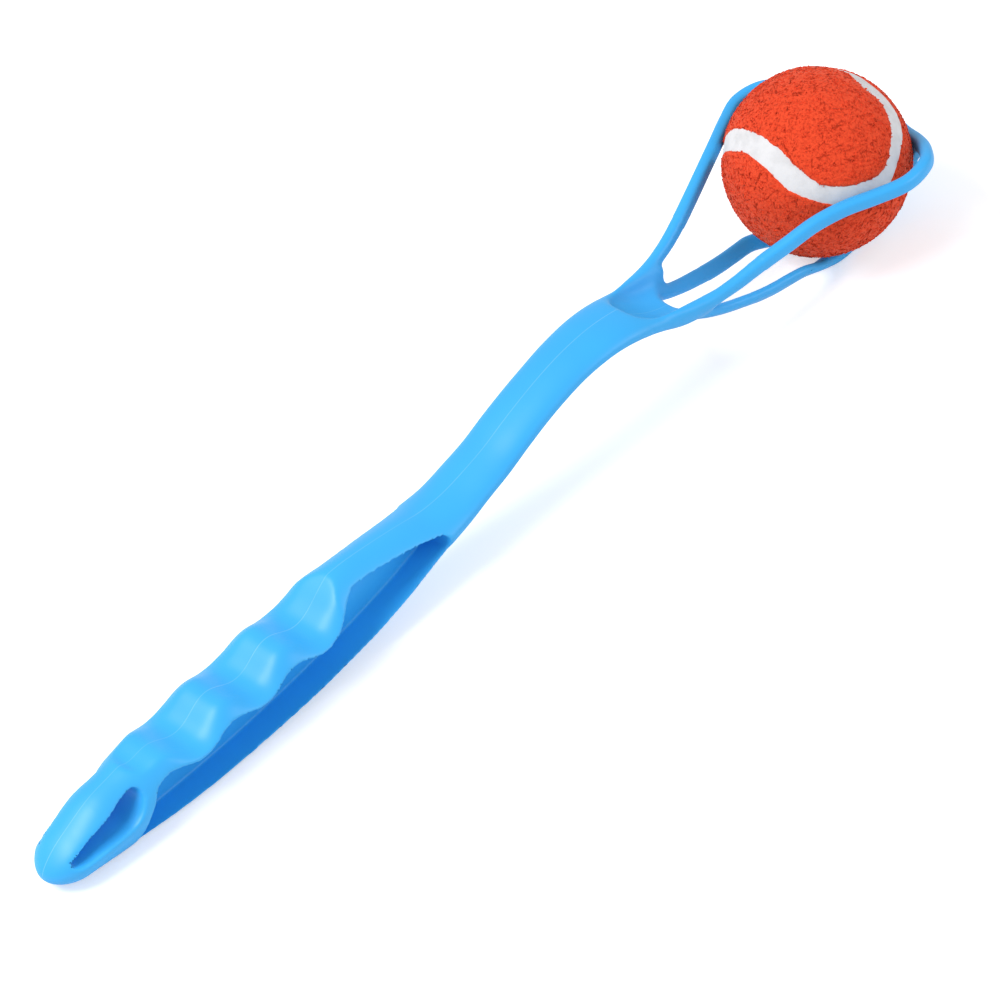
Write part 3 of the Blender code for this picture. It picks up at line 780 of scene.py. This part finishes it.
def scoop(layout):
    """Cutter that hollows the root like the bowl of a spoon and opens its front."""
    handle, cage = layout.handle, layout.cage
    start = layout.crest_x + cage.scoop_start
    steps, columns = 60, 28
    rings = []
    for step in range(1, steps + 1):
        along = (layout.root_end_x - start) * (step / steps) ** SCOOP_CROWDING
        wide = min(along / cage.scoop_round_width, 1)
        deep = min(along / cage.scoop_round_depth, 1)
        half_width = cage.scoop_half_width * bulge(wide, SCOOP_WIDTH_POWER)
        rim_height = layout.top(start + along)
        drop = rim_height - layout.bottom(start + along) - cage.scoop_floor
        drop *= bulge(deep, SCOOP_DEPTH_POWER)
        place = start + along - layout.middle_x
        ring = [Vector((place, half_width, handle.crest_height + handle.grip_depth))]
        for column in range(columns + 1):
            angle = pi * column / columns
            ring.append(Vector((
                place,
                half_width * rounded_power(cos(angle), SCOOP_SECTION_POWER),
                rim_height - drop * rounded_power(sin(angle), SCOOP_SECTION_POWER),
            )))
        ring.append(Vector((place, -half_width, handle.crest_height + handle.grip_depth)))
        rings.append(ring)
    return loft(rings, columns + 3)


def slot(layout):
    """Cutter for the round end of the gap between the two cradle ribs."""
    cage = layout.cage
    reach = layout.root_end_x - layout.crest_x - cage.slot_start
    middle = layout.root_end_x - layout.middle_x
    rings = []
    for height in (-layout.handle.grip_depth, layout.handle.crest_height + layout.handle.grip_depth):
        ring = []
        for step in range(SECTION_POINTS):
            angle = tau * step / SECTION_POINTS
            ring.append(Vector((
                middle + reach * rounded_power(cos(angle), SLOT_POWER),
                cage.slot_half_width * rounded_power(sin(angle), SLOT_POWER),
                height,
            )))
        rings.append(ring)
    return loft(rings, SECTION_POINTS)


def crotch(layout):
    """Cross cutter for the round end of the gaps between rim and cradle."""
    radius = layout.cage.crotch_radius
    builder = bmesh.new()
    bmesh.ops.create_cone(
        builder, cap_ends=True, segments=48, radius1=radius, radius2=radius,
        depth=layout.cage.rim_half_width * 2)
    bmesh.ops.rotate(
        builder, verts=builder.verts, cent=(0, 0, 0), matrix=Matrix.Rotation(pi / 2, 3, "X"))
    height = spline(layout.stations, layout.root_end_x)[0] - radius * CROTCH_DROP_SHARE
    place = (layout.root_end_x + radius * CROTCH_PLACE_SHARE - layout.middle_x, 0, height)
    bmesh.ops.translate(builder, verts=builder.verts, vec=place)
    return builder


def mend(builder):
    """Close the few spots where more than two faces share an edge."""
    for _ in range(4):
        torn = {face for edge in builder.edges if not edge.is_manifold for face in edge.link_faces}
        if not torn:
            break
        bmesh.ops.delete(builder, geom=list(torn), context="FACES")
        bmesh.ops.holes_fill(builder, edges=[edge for edge in builder.edges if edge.is_boundary], sides=0)


def soften(layout, mesh):
    """Round the moulding's edges, most of all at the grip bar and the root, and trim it flat on the floor."""
    handle = layout.handle
    bar_start = handle.groove_start - handle.groove_entry
    bar_end = handle.groove_start + handle.groove_run + handle.groove_entry
    crotch_middle = layout.root_end_x - handle.root_length * CROTCH_MIDDLE_SHARE
    spoon_start = layout.crest_x + handle.root_length * SPOON_START_SHARE
    fork_start = layout.crest_x + handle.root_length * FORK_SHARE
    fork_end = layout.root_end_x + handle.root_length * FORK_SHARE

    def on_bar(place, height):
        under = handle.bar_thickness * BAR_UNDER_SHARE
        return bar_start < place < bar_end and height > layout.pocket_roof(place) + under

    def at_fork(place, height):
        return fork_start < place < fork_end

    def on_spoon(place, height):
        floor = layout.bottom(place) + layout.cage.scoop_floor * 2
        return spoon_start < place < layout.root_end_x and height > floor

    def in_crotch(reach_share):
        return lambda place, height: abs(place - crotch_middle) < handle.root_length * reach_share

    zones = [(lambda place, height: True, EDGE_PASSES), (on_bar, BAR_PASSES), (at_fork, FORK_PASSES)]
    zones += [(on_spoon, SPOON_PASSES)] + [(in_crotch(reach), CROTCH_PASSES) for reach in CROTCH_REACH_SHARES]
    builder = bmesh.new()
    builder.from_mesh(mesh)
    mend(builder)
    for chosen, passes in zones:
        verts = [vert for vert in builder.verts if chosen(vert.co.x + layout.middle_x, vert.co.z)]
        for _ in range(passes):
            bmesh.ops.smooth_vert(
                builder, verts=verts, factor=0.5, use_axis_x=True, use_axis_y=True, use_axis_z=True)
    for vert in builder.verts:
        vert.co.z = max(vert.co.z, 0)
    builder.to_mesh(mesh)
    builder.free()


def ball_turn(ball):
    """How the ball is turned in the cage."""
    return (
        Matrix.Rotation(ball.turn_z, 3, "Z")
        @ Matrix.Rotation(ball.turn_y, 3, "Y")
        @ Matrix.Rotation(ball.turn_x, 3, "X")
    )


def seam_point(ball, angle):
    """Point of the closed seam curve on the unit sphere."""
    swing = ball.seam_curve
    wide = 1 - swing
    return Vector((
        wide * cos(angle) + swing * cos(3 * angle),
        wide * sin(angle) - swing * sin(3 * angle),
        2 * sqrt(wide * swing) * sin(2 * angle),
    )).normalized()


def seam_side(ball, angle):
    """Direction square to the seam, along the sphere."""
    step = tau / 2000
    point = seam_point(ball, angle)
    ahead = seam_point(ball, angle + step) - seam_point(ball, angle - step)
    return point.cross(ahead).normalized()


def seam_band(layout):
    """Closed band of rubber along the seam, a little hollow across its face."""
    ball = layout.ball
    outer = layout.ball_radius - ball.seam_sink
    inner = layout.ball_radius - ball.felt_thickness
    steps, columns = 420, 12
    turned = ball_turn(ball)
    builder = bmesh.new()
    edges = []
    for step in range(steps):
        angle = tau * step / steps
        point, side = seam_point(ball, angle), seam_side(ball, angle)
        shift, half = spline(SEAM_WANDER, step / steps)
        shift *= ball.seam_width / layout.ball_radius
        half = (half * ball.seam_width + ball.ragged * 1.6) / layout.ball_radius
        ring = []
        for column in range(columns + 1):
            across = 2 * column / columns - 1
            turned_by = shift + half * across
            direction = (point * cos(turned_by) + side * sin(turned_by)).normalized()
            dip = ball.seam_sink * 0.35 * (1 - across ** 2)
            rough = noise.noise(direction * 90) * ball.seam_sink * 0.12
            ring.append(direction * (outer - dip + rough))
        for column in (columns, 0):
            turned_by = shift + half * (2 * column / columns - 1)
            direction = (point * cos(turned_by) + side * sin(turned_by)).normalized()
            ring.append(direction * inner)
        made = bmesh.ops.create_circle(builder, cap_ends=False, segments=len(ring), radius=1)
        for vert, place in zip(made["verts"], ring):
            vert.co = layout.centre + turned @ place
        edges.append(list({edge for vert in made["verts"] for edge in vert.link_edges}))
    for index in range(steps):
        bmesh.ops.bridge_loops(builder, edges=edges[index - 1] + edges[index])
    bmesh.ops.recalc_face_normals(builder, faces=builder.faces)
    return builder


def seam_samples(ball):
    """Points, side directions, shifts and half widths along the seam, for finding the nearest one."""
    count = 720
    samples = []
    for index in range(count):
        angle = tau * index / count
        shift, half = spline(SEAM_WANDER, index / count)
        samples.append((seam_point(ball, angle), seam_side(ball, angle),
                        shift * ball.seam_width, half * ball.seam_width))
    return samples


def seam_finder(layout, side):
    """A function that tells how far a direction lies inside the felt panel on one side, in metres."""
    ball = layout.ball
    samples = seam_samples(ball)
    tree = KDTree(len(samples))
    for index, sample in enumerate(samples):
        tree.insert(sample[0], index)
    tree.balance()

    def inside(direction):
        _, index, _ = tree.find(direction)
        _, across, shift, half = samples[index]
        offset = (asin(max(-1, min(1, direction.dot(across)))) * layout.ball_radius - shift) * side
        fray = noise.noise(direction * 17) * 0.9 + noise.noise(direction * 52) * 0.7
        return offset - half - fray * ball.ragged

    return inside


def felt_skin(layout, side):
    """Outer skin of one felt panel: a fine sphere trimmed along a ragged seam edge."""
    builder = bmesh.new()
    bmesh.ops.create_icosphere(builder, subdivisions=7, radius=1)
    inside = seam_finder(layout, side)
    distance = {}
    for vert in builder.verts:
        distance[vert] = inside(vert.co.normalized())
    doomed = [vert for vert in builder.verts if distance[vert] < 0]
    near = {}
    for vert in builder.verts:
        if distance[vert] >= 0:
            for edge in vert.link_edges:
                other = edge.other_vert(vert)
                if distance[other] < 0:
                    part = distance[vert] / (distance[vert] - distance[other])
                    move = (other.co - vert.co) * part
                    if vert not in near or move.length < near[vert].length:
                        near[vert] = move
    for vert, move in near.items():
        vert.co = (vert.co + move).normalized()
    bmesh.ops.delete(builder, geom=doomed, context="VERTS")
    return builder


def felt_panel(layout, side):
    """One felt panel with an uneven nap and a rolled edge, turned into the cage."""
    ball = layout.ball
    builder = felt_skin(layout, side)
    inside = seam_finder(layout, side)
    radius = layout.ball_radius
    roll = ball.seam_sink * 3
    for vert in builder.verts:
        direction = vert.co.normalized()
        rolled = 1 - ease(max(inside(direction), 0) / roll)
        nap = noise.noise(direction * 46) * 0.6 + noise.noise(direction * 120) * 0.6
        vert.co = direction * (radius + nap * ball.nap - rolled * ball.seam_sink * 0.75)
    outer = list(builder.faces)
    made = bmesh.ops.solidify(builder, geom=outer, thickness=ball.felt_thickness * 0.94)
    bmesh.ops.rotate(builder, verts=builder.verts, cent=(0, 0, 0), matrix=ball_turn(ball))
    bmesh.ops.translate(builder, verts=builder.verts, vec=layout.centre)
    bmesh.ops.recalc_face_normals(builder, faces=builder.faces)
    return builder


def felt_fibres(layout, side, seed):
    """Short loose fibres over one felt panel, each a slim three-sided spike."""
    ball = layout.ball
    chance = Random(seed)
    builder = bmesh.new()
    bmesh.ops.create_cone(
        builder, cap_ends=True, segments=3, radius1=0.5, radius2=0.2, depth=1)
    bmesh.ops.translate(builder, verts=builder.verts, vec=(0, 0, 0.5))
    for _ in range(14):
        bmesh.ops.duplicate(builder, geom=builder.verts[:] + builder.edges[:] + builder.faces[:])
    builder.verts.ensure_lookup_table()
    inside = seam_finder(layout, side)
    turned = ball_turn(ball)
    for index in range(0, len(builder.verts), 6):
        while True:
            direction = Vector((chance.gauss(0, 1), chance.gauss(0, 1), chance.gauss(0, 1))).normalized()
            if inside(direction) > ball.fibre_length * 0.5:
                break
        lean = chance.uniform(62, 88) * pi / 180
        flat = direction.orthogonal().normalized()
        flat.rotate(Matrix.Rotation(chance.uniform(0, tau), 3, direction))
        along = direction * cos(lean) + flat * sin(lean)
        basis = along.to_track_quat("Z", "X").to_matrix()
        size = ball.fibre_length * chance.uniform(0.5, 1.2)
        root = direction * (layout.ball_radius - ball.fibre_width)
        for vert in builder.verts[index:index + 6]:
            local = Vector((vert.co.x * ball.fibre_width, vert.co.y * ball.fibre_width, vert.co.z * size))
            vert.co = layout.centre + turned @ (root + basis @ local)
    return builder


def node(tree, kind, place, **values):
    """Add a shader node and set its options and unlinked inputs by name."""
    item = tree.nodes.new(kind)
    item.location = place
    for name, value in values.items():
        if name in item.inputs:
            item.inputs[name].default_value = value
        else:
            setattr(item, name, value)
    return item


def finish_base(name):
    """A new material with its shader, and object coordinates to build on."""
    surface = bpy.data.materials.new(name)
    surface.use_nodes = True
    tree = surface.node_tree
    shader = tree.nodes["Principled BSDF"]
    coordinates = node(tree, "ShaderNodeTexCoord", (-1400, 0))
    return surface, tree, shader, coordinates.outputs["Object"]


def grain(tree, source, scale, detail, place):
    """Noise of a given fineness on object coordinates."""
    item = node(tree, "ShaderNodeTexNoise", place)
    item.inputs["Scale"].default_value = scale
    item.inputs["Detail"].default_value = detail
    tree.links.new(source, item.inputs["Vector"])
    return item.outputs["Fac"]


def ramp(tree, source, low, high, place, start=0.3, end=0.7):
    """Blend between two colours by a factor."""
    item = node(tree, "ShaderNodeValToRGB", place)
    item.color_ramp.elements[0].position = start
    item.color_ramp.elements[1].position = end
    item.color_ramp.elements[0].color = (*low, 1)
    item.color_ramp.elements[1].color = (*high, 1)
    tree.links.new(source, item.inputs["Fac"])
    return item.outputs["Color"]


def span(tree, source, low, high, place):
    """Turn a factor into a number between two limits."""
    item = node(tree, "ShaderNodeMapRange", place)
    item.inputs["To Min"].default_value = low
    item.inputs["To Max"].default_value = high
    tree.links.new(source, item.inputs["Value"])
    return item.outputs["Result"]


def bump(tree, source, distance, place, strength=1.0, below=None):
    """Surface relief of a real height in metres."""
    item = node(tree, "ShaderNodeBump", place)
    item.inputs["Strength"].default_value = strength
    item.inputs["Distance"].default_value = distance
    tree.links.new(source, item.inputs["Height"])
    if below:
        tree.links.new(below, item.inputs["Normal"])
    return item.outputs["Normal"]


def calculate(tree, operation, first, second, place, clamp=False):
    """Arithmetic on a socket and a number or another socket."""
    item = node(tree, "ShaderNodeMath", place)
    item.operation = operation
    item.use_clamp = clamp
    tree.links.new(first, item.inputs[0])
    if isinstance(second, (int, float)):
        item.inputs[1].default_value = second
    elif second is not None:
        tree.links.new(second, item.inputs[1])
    return item.outputs[0]


def scaled(colour_value, factor):
    """The same colour, lighter or darker."""
    return tuple(min(channel * factor, 1) for channel in colour_value)


def plastic_finish(colours):
    """Satin sky-blue moulded plastic with a faint parting line along the top, its up-facing side lit by a
    painted highlight.
    """
    surface, tree, shader, place = finish_base("moulded_blue_plastic")
    flow = grain(tree, place, 38, 2, (-1100, 300))
    tone = ramp(tree, flow, scaled(colours.plastic, 0.965), scaled(colours.plastic, 1.02), (-850, 300))
    parts = node(tree, "ShaderNodeSeparateXYZ", (-1100, -200))
    tree.links.new(place, parts.inputs[0])
    away = calculate(tree, "ABSOLUTE", parts.outputs["Y"], None, (-900, -200))
    line = node(tree, "ShaderNodeMapRange", (-700, -200))
    line.interpolation_type = "SMOOTHSTEP"
    for name, value in (("From Min", 0.00004), ("From Max", 0.00026), ("To Min", 1), ("To Max", 0)):
        line.inputs[name].default_value = value
    tree.links.new(away, line.inputs["Value"])
    # Painted highlight: the parting line is made paler only where the surface faces up, as if lit from above
    geometry = node(tree, "ShaderNodeNewGeometry", (-1100, -420))
    facing = node(tree, "ShaderNodeSeparateXYZ", (-900, -420))
    tree.links.new(geometry.outputs["Normal"], facing.inputs[0])
    painted_highlight_facing_up = calculate(tree, "MULTIPLY", facing.outputs["Z"], 2.5, (-700, -420), clamp=True)
    broken = grain(tree, place, 60, 1, (-900, -620))
    broken = calculate(tree, "MULTIPLY", broken, 1.5, (-700, -620), clamp=True)
    line = calculate(tree, "MULTIPLY", line.outputs["Result"], painted_highlight_facing_up, (-500, -300))
    line = calculate(tree, "MULTIPLY", line, broken, (-350, -300))
    # The paler blue mixed in along the parting line is a painted highlight; the bump below gives the line its
    # real relief
    mixed = node(tree, "ShaderNodeMix", (-250, 300))
    mixed.data_type = "RGBA"
    faint = calculate(tree, "MULTIPLY", line, 0.20, (-420, 120))
    tree.links.new(faint, mixed.inputs["Factor"])
    tree.links.new(tone, mixed.inputs[6])
    mixed.inputs[7].default_value = (0.45, 0.80, 0.98, 1)
    tree.links.new(mixed.outputs[2], shader.inputs["Base Color"])
    mottle = grain(tree, place, 210, 3, (-1100, 60))
    rough = span(tree, mottle, 0.36, 0.46, (-850, 60))
    tree.links.new(rough, shader.inputs["Roughness"])
    fine = grain(tree, place, 2600, 2, (-850, -800))
    relief = bump(tree, fine, 0.000010, (-500, -800))
    relief = bump(tree, line, 0.00003, (-250, -500), below=relief)
    tree.links.new(relief, shader.inputs["Normal"])
    shader.inputs["IOR"].default_value = 1.49
    shader.inputs["Specular IOR Level"].default_value = 0.5
    return surface


def felt_finish(colours):
    """Brushed orange-red felt: painted shade between the fibres, a pale sheen on top."""
    surface, tree, shader, place = finish_base("brushed_orange_felt")
    clumps = grain(tree, place, 1500, 3, (-1100, 300))
    # Painted shade: the felt is darkened in noise clumps as if shaded between the fibres
    base = ramp(tree, clumps, colours.felt_dark, colours.felt, (-850, 300), 0.30, 0.56)
    fibres = grain(tree, place, 3600, 4, (-1100, 0))
    light = ramp(tree, fibres, (0.86, 0.86, 0.86), (1, 1, 1), (-850, 0), 0.40, 0.60)
    mixed = node(tree, "ShaderNodeMix", (-500, 250))
    mixed.data_type = "RGBA"
    mixed.blend_type = "MULTIPLY"
    mixed.inputs["Factor"].default_value = 1
    tree.links.new(base, mixed.inputs[6])
    tree.links.new(light, mixed.inputs[7])
    tree.links.new(mixed.outputs[2], shader.inputs["Base Color"])
    relief = bump(tree, clumps, 0.00006, (-500, -300))
    relief = bump(tree, fibres, 0.00005, (-250, -300), below=relief)
    tree.links.new(relief, shader.inputs["Normal"])
    shader.inputs["Roughness"].default_value = 0.95
    shader.inputs["Specular IOR Level"].default_value = 0.15
    shader.inputs["Sheen Weight"].default_value = 0.35
    shader.inputs["Sheen Roughness"].default_value = 0.45
    shader.inputs["Sheen Tint"].default_value = (1.0, 0.55, 0.42, 1)
    return surface


def seam_finish(colours):
    """Pale seam rubber with faint smudges and fine pitting."""
    surface, tree, shader, place = finish_base("pale_seam_rubber")
    smudge = grain(tree, place, 220, 4, (-1100, 200))
    tone = ramp(tree, smudge, scaled(colours.seam, 0.86), colours.seam, (-850, 200), 0.30, 0.60)
    tree.links.new(tone, shader.inputs["Base Color"])
    pits = grain(tree, place, 1700, 3, (-1100, -200))
    tree.links.new(bump(tree, pits, 0.00006, (-500, -200)), shader.inputs["Normal"])
    tree.links.new(span(tree, smudge, 0.50, 0.68, (-850, -50)), shader.inputs["Roughness"])
    return surface


def core_finish(colours):
    """Dull black core rubber with a matt, dusty grain."""
    surface, tree, shader, place = finish_base("black_core_rubber")
    dust = grain(tree, place, 300, 4, (-1100, 200))
    tone = ramp(tree, dust, colours.core, scaled(colours.core, 2.2), (-850, 200))
    tree.links.new(tone, shader.inputs["Base Color"])
    tree.links.new(span(tree, dust, 0.70, 0.90, (-850, -50)), shader.inputs["Roughness"])
    pits = grain(tree, place, 1300, 2, (-1100, -250))
    tree.links.new(bump(tree, pits, 0.00008, (-500, -200)), shader.inputs["Normal"])
    return surface


class THROWER_OT_moulding(bpy.types.Operator):
    """Model the one-piece thrower: grip, neck, root, cage ribs and lip"""
    bl_idname = "thrower.moulding"
    bl_label = "Thrower moulding"

    def execute(self, context):
        layout = Layout(context.scene)
        body = new_object("handle_shape", handle_skin(layout))
        steps = (
            ("groove_shape", groove_block(layout), "DIFFERENCE"),
            ("pocket_left_shape", pocket_block(layout, 1), "DIFFERENCE"),
            ("pocket_right_shape", pocket_block(layout, -1), "DIFFERENCE"),
            ("hole_shape", hole_block(layout), "DIFFERENCE"),
            ("crotch_shape", crotch(layout), "DIFFERENCE"),
            ("slot_shape", slot(layout), "DIFFERENCE"),
            ("rim_shape", rim(layout), "UNION"),
            ("cradle_left_shape", cradle(layout, 1), "UNION"),
            ("cradle_right_shape", cradle(layout, -1), "UNION"),
            ("tongue_shape", tongue(layout), "UNION"),
            ("scoop_shape", scoop(layout), "DIFFERENCE"),
        )
        helpers = []
        for name, shape, operation in steps:
            helper = new_object(name, shape)
            helpers.append(helper)
            combine(body, helper, operation)
        remesh = body.modifiers.new("even_skin", "REMESH")
        remesh.mode = "SHARP"
        remesh.octree_depth = 10
        remesh.scale = 0.9
        mesh = settled(body)
        soften(layout, mesh)
        fine = bpy.data.objects.new("fine_shape", mesh)
        context.scene.collection.objects.link(fine)
        thinned = fine.modifiers.new("thinned", "DECIMATE")
        thinned.ratio = min(MOULDING_TRIANGLES / (2 * len(mesh.polygons)), 1)
        mesh = settled(fine)
        helpers.append(fine)
        mesh.name = "thrower_body"
        mesh.shade_smooth()
        mesh.materials.clear()
        mesh.materials.append(plastic_finish(context.scene.thrower_finish))
        piece = bpy.data.objects.new("thrower_body", mesh)
        context.scene.collection.objects.link(piece)
        for helper in helpers + [body]:
            bpy.data.objects.remove(helper, do_unlink=True)
        if len(mesh.polygons) < 1000:
            raise RuntimeError("the thrower came out empty")
        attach(piece, "thrower")
        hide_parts("thrower_moulding")
        return {"FINISHED"}


class THROWER_OT_felt(bpy.types.Operator):
    """Cover the ball with two felt panels and their loose fibres"""
    bl_idname = "thrower.felt"
    bl_label = "Felt panels"

    def execute(self, context):
        layout = Layout(context.scene)
        surface = felt_finish(context.scene.thrower_finish)
        for letter, side in (("a", 1), ("b", -1)):
            panel = new_object(f"felt_cover_{letter}", felt_panel(layout, side), surface)
            fibres = new_object(
                f"felt_fibres_{letter}",
                felt_fibres(layout, side, context.scene.thrower_stage.samples_seed + side),
                surface, smooth=False)
            for piece in (panel, fibres):
                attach(piece, "ball")
            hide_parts(f"ball_felt_panel_{letter}")
        return {"FINISHED"}


class THROWER_OT_seam(bpy.types.Operator):
    """Lay the pale rubber seam between the felt panels"""
    bl_idname = "thrower.seam"
    bl_label = "Ball seam"

    def execute(self, context):
        layout = Layout(context.scene)
        piece = new_object("seam_rubber_band", seam_band(layout), seam_finish(context.scene.thrower_finish))
        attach(piece, "ball")
        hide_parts("ball_seam")
        return {"FINISHED"}


class THROWER_OT_core(bpy.types.Operator):
    """Give the two halves of the hollow core their rubber finish"""
    bl_idname = "thrower.core"
    bl_label = "Ball core"

    def execute(self, context):
        surface = core_finish(context.scene.thrower_finish)
        for name in ("ball_core_half_a", "ball_core_half_b"):
            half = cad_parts[name]
            half.data.materials.clear()
            half.data.materials.append(surface)
        return {"FINISHED"}


def box_lamp(name, place, target, size, power):
    """Rectangular soft box that looks at a point."""
    lamp = bpy.data.lights.new(name, "AREA")
    lamp.shape = "RECTANGLE"
    lamp.size, lamp.size_y = size
    lamp.energy = power
    item = bpy.data.objects.new(name, lamp)
    item.location = place
    item.rotation_euler = (target - place).to_track_quat("-Z", "Y").to_euler()
    bpy.context.scene.collection.objects.link(item)


def floor_finish():
    """Pale floor: white to the camera apart from the soft shadow on it."""
    surface = bpy.data.materials.new("pale_floor")
    surface.use_nodes = True
    tree = surface.node_tree
    shader = tree.nodes["Principled BSDF"]
    shader.inputs["Base Color"].default_value = (0.86, 0.86, 0.87, 1)
    shader.inputs["Roughness"].default_value = 0.9
    shader.inputs["Specular IOR Level"].default_value = 0.1
    glow = node(tree, "ShaderNodeEmission", (0, -300), Strength=0.42)
    added = node(tree, "ShaderNodeAddShader", (250, 0))
    tree.links.new(shader.outputs[0], added.inputs[0])
    tree.links.new(glow.outputs[0], added.inputs[1])
    rays = node(tree, "ShaderNodeLightPath", (0, 300))
    seen = node(tree, "ShaderNodeMixShader", (450, 0))
    tree.links.new(rays.outputs["Is Camera Ray"], seen.inputs[0])
    tree.links.new(shader.outputs[0], seen.inputs[1])
    tree.links.new(added.outputs[0], seen.inputs[2])
    tree.links.new(seen.outputs[0], tree.nodes["Material Output"].inputs["Surface"])
    return surface


class THROWER_OT_stage(bpy.types.Operator):
    """Set the pale floor, the soft boxes, the even surroundings and the camera"""
    bl_idname = "thrower.stage"
    bl_label = "Studio"

    def execute(self, context):
        scene = context.scene
        settings = scene.thrower_stage
        layout = Layout(scene)
        builder = bmesh.new()
        bmesh.ops.create_grid(builder, x_segments=1, y_segments=1, size=settings.floor_width / 2)
        floor = new_object("studio_floor", builder, floor_finish(), smooth=False)
        middle = Vector((0, 0, 0.03))
        box_lamp("key_box", Vector((-0.75, 0.35, 1.25)), middle, (0.9, 0.7), settings.key_power)
        box_lamp("fill_box", Vector((0.9, -1.1, 0.7)), middle, (0.8, 0.8), settings.fill_power)
        world = bpy.data.worlds.new("even_surroundings")
        world.use_nodes = True
        tree = world.node_tree
        sky = tree.nodes["Background"]
        sky.inputs["Color"].default_value = (1, 1, 1, 1)
        sky.inputs["Strength"].default_value = settings.sky
        seen = node(tree, "ShaderNodeBackground", (0, -200), Color=(1, 1, 1, 1), Strength=1)
        rays = node(tree, "ShaderNodeLightPath", (0, 400))
        mixed = node(tree, "ShaderNodeMixShader", (250, 100))
        tree.links.new(rays.outputs["Is Camera Ray"], mixed.inputs[0])
        tree.links.new(sky.outputs[0], mixed.inputs[1])
        tree.links.new(seen.outputs[0], mixed.inputs[2])
        tree.links.new(mixed.outputs[0], tree.nodes["World Output"].inputs["Surface"])
        scene.world = world
        right = Vector(CAMERA_RIGHT).normalized()
        back = Vector(CAMERA_BACK).normalized()
        up = back.cross(right).normalized()
        right = up.cross(back).normalized()
        camera = bpy.data.cameras.new("studio_camera")
        camera.lens = settings.focal_length
        camera.sensor_width = 36
        camera.clip_start, camera.clip_end = 0.1, 20
        item = bpy.data.objects.new("studio_camera", camera)
        turned = Matrix((right, up, back)).transposed().to_4x4()
        turned.translation = layout.centre + Vector(CAMERA_PLACE)
        item.matrix_world = turned
        scene.collection.objects.link(item)
        scene.camera = item
        scene.view_settings.view_transform = "Standard"
        return {"FINISHED"}


class THROWER_PT_panel(bpy.types.Panel):
    """Lists the pieces of the ball thrower"""
    bl_idname = "THROWER_PT_panel"
    bl_label = "Ball thrower"
    bl_space_type = "VIEW_3D"
    bl_region_type = "UI"
    bl_category = "Ball thrower"

    def draw(self, context):
        for operator in OPERATORS:
            self.layout.operator(operator.bl_idname)


OPERATORS = (THROWER_OT_moulding, THROWER_OT_core, THROWER_OT_seam, THROWER_OT_felt, THROWER_OT_stage)
GROUPS = (
    ("thrower_handle", HandleSizes),
    ("thrower_cage", CageSizes),
    ("thrower_ball", BallSizes),
    ("thrower_finish", FinishColours),
    ("thrower_stage", StageSettings),
)


def register():
    """Add the property groups, the operators and the panel."""
    for name, group in GROUPS:
        bpy.utils.register_class(group)
        setattr(bpy.types.Scene, name, PointerProperty(type=group))
    for item in (*OPERATORS, THROWER_PT_panel):
        bpy.utils.register_class(item)


def unregister():
    """Take them away again."""
    for item in reversed((*OPERATORS, THROWER_PT_panel)):
        bpy.utils.unregister_class(item)
    for name, group in reversed(GROUPS):
        delattr(bpy.types.Scene, name)
        bpy.utils.unregister_class(group)


def main():
    """Build every piece in order."""
    register()
    bpy.ops.thrower.moulding()
    bpy.ops.thrower.core()
    bpy.ops.thrower.seam()
    bpy.ops.thrower.felt()
    bpy.ops.thrower.stage()


if __name__ == "__main__":
    main()
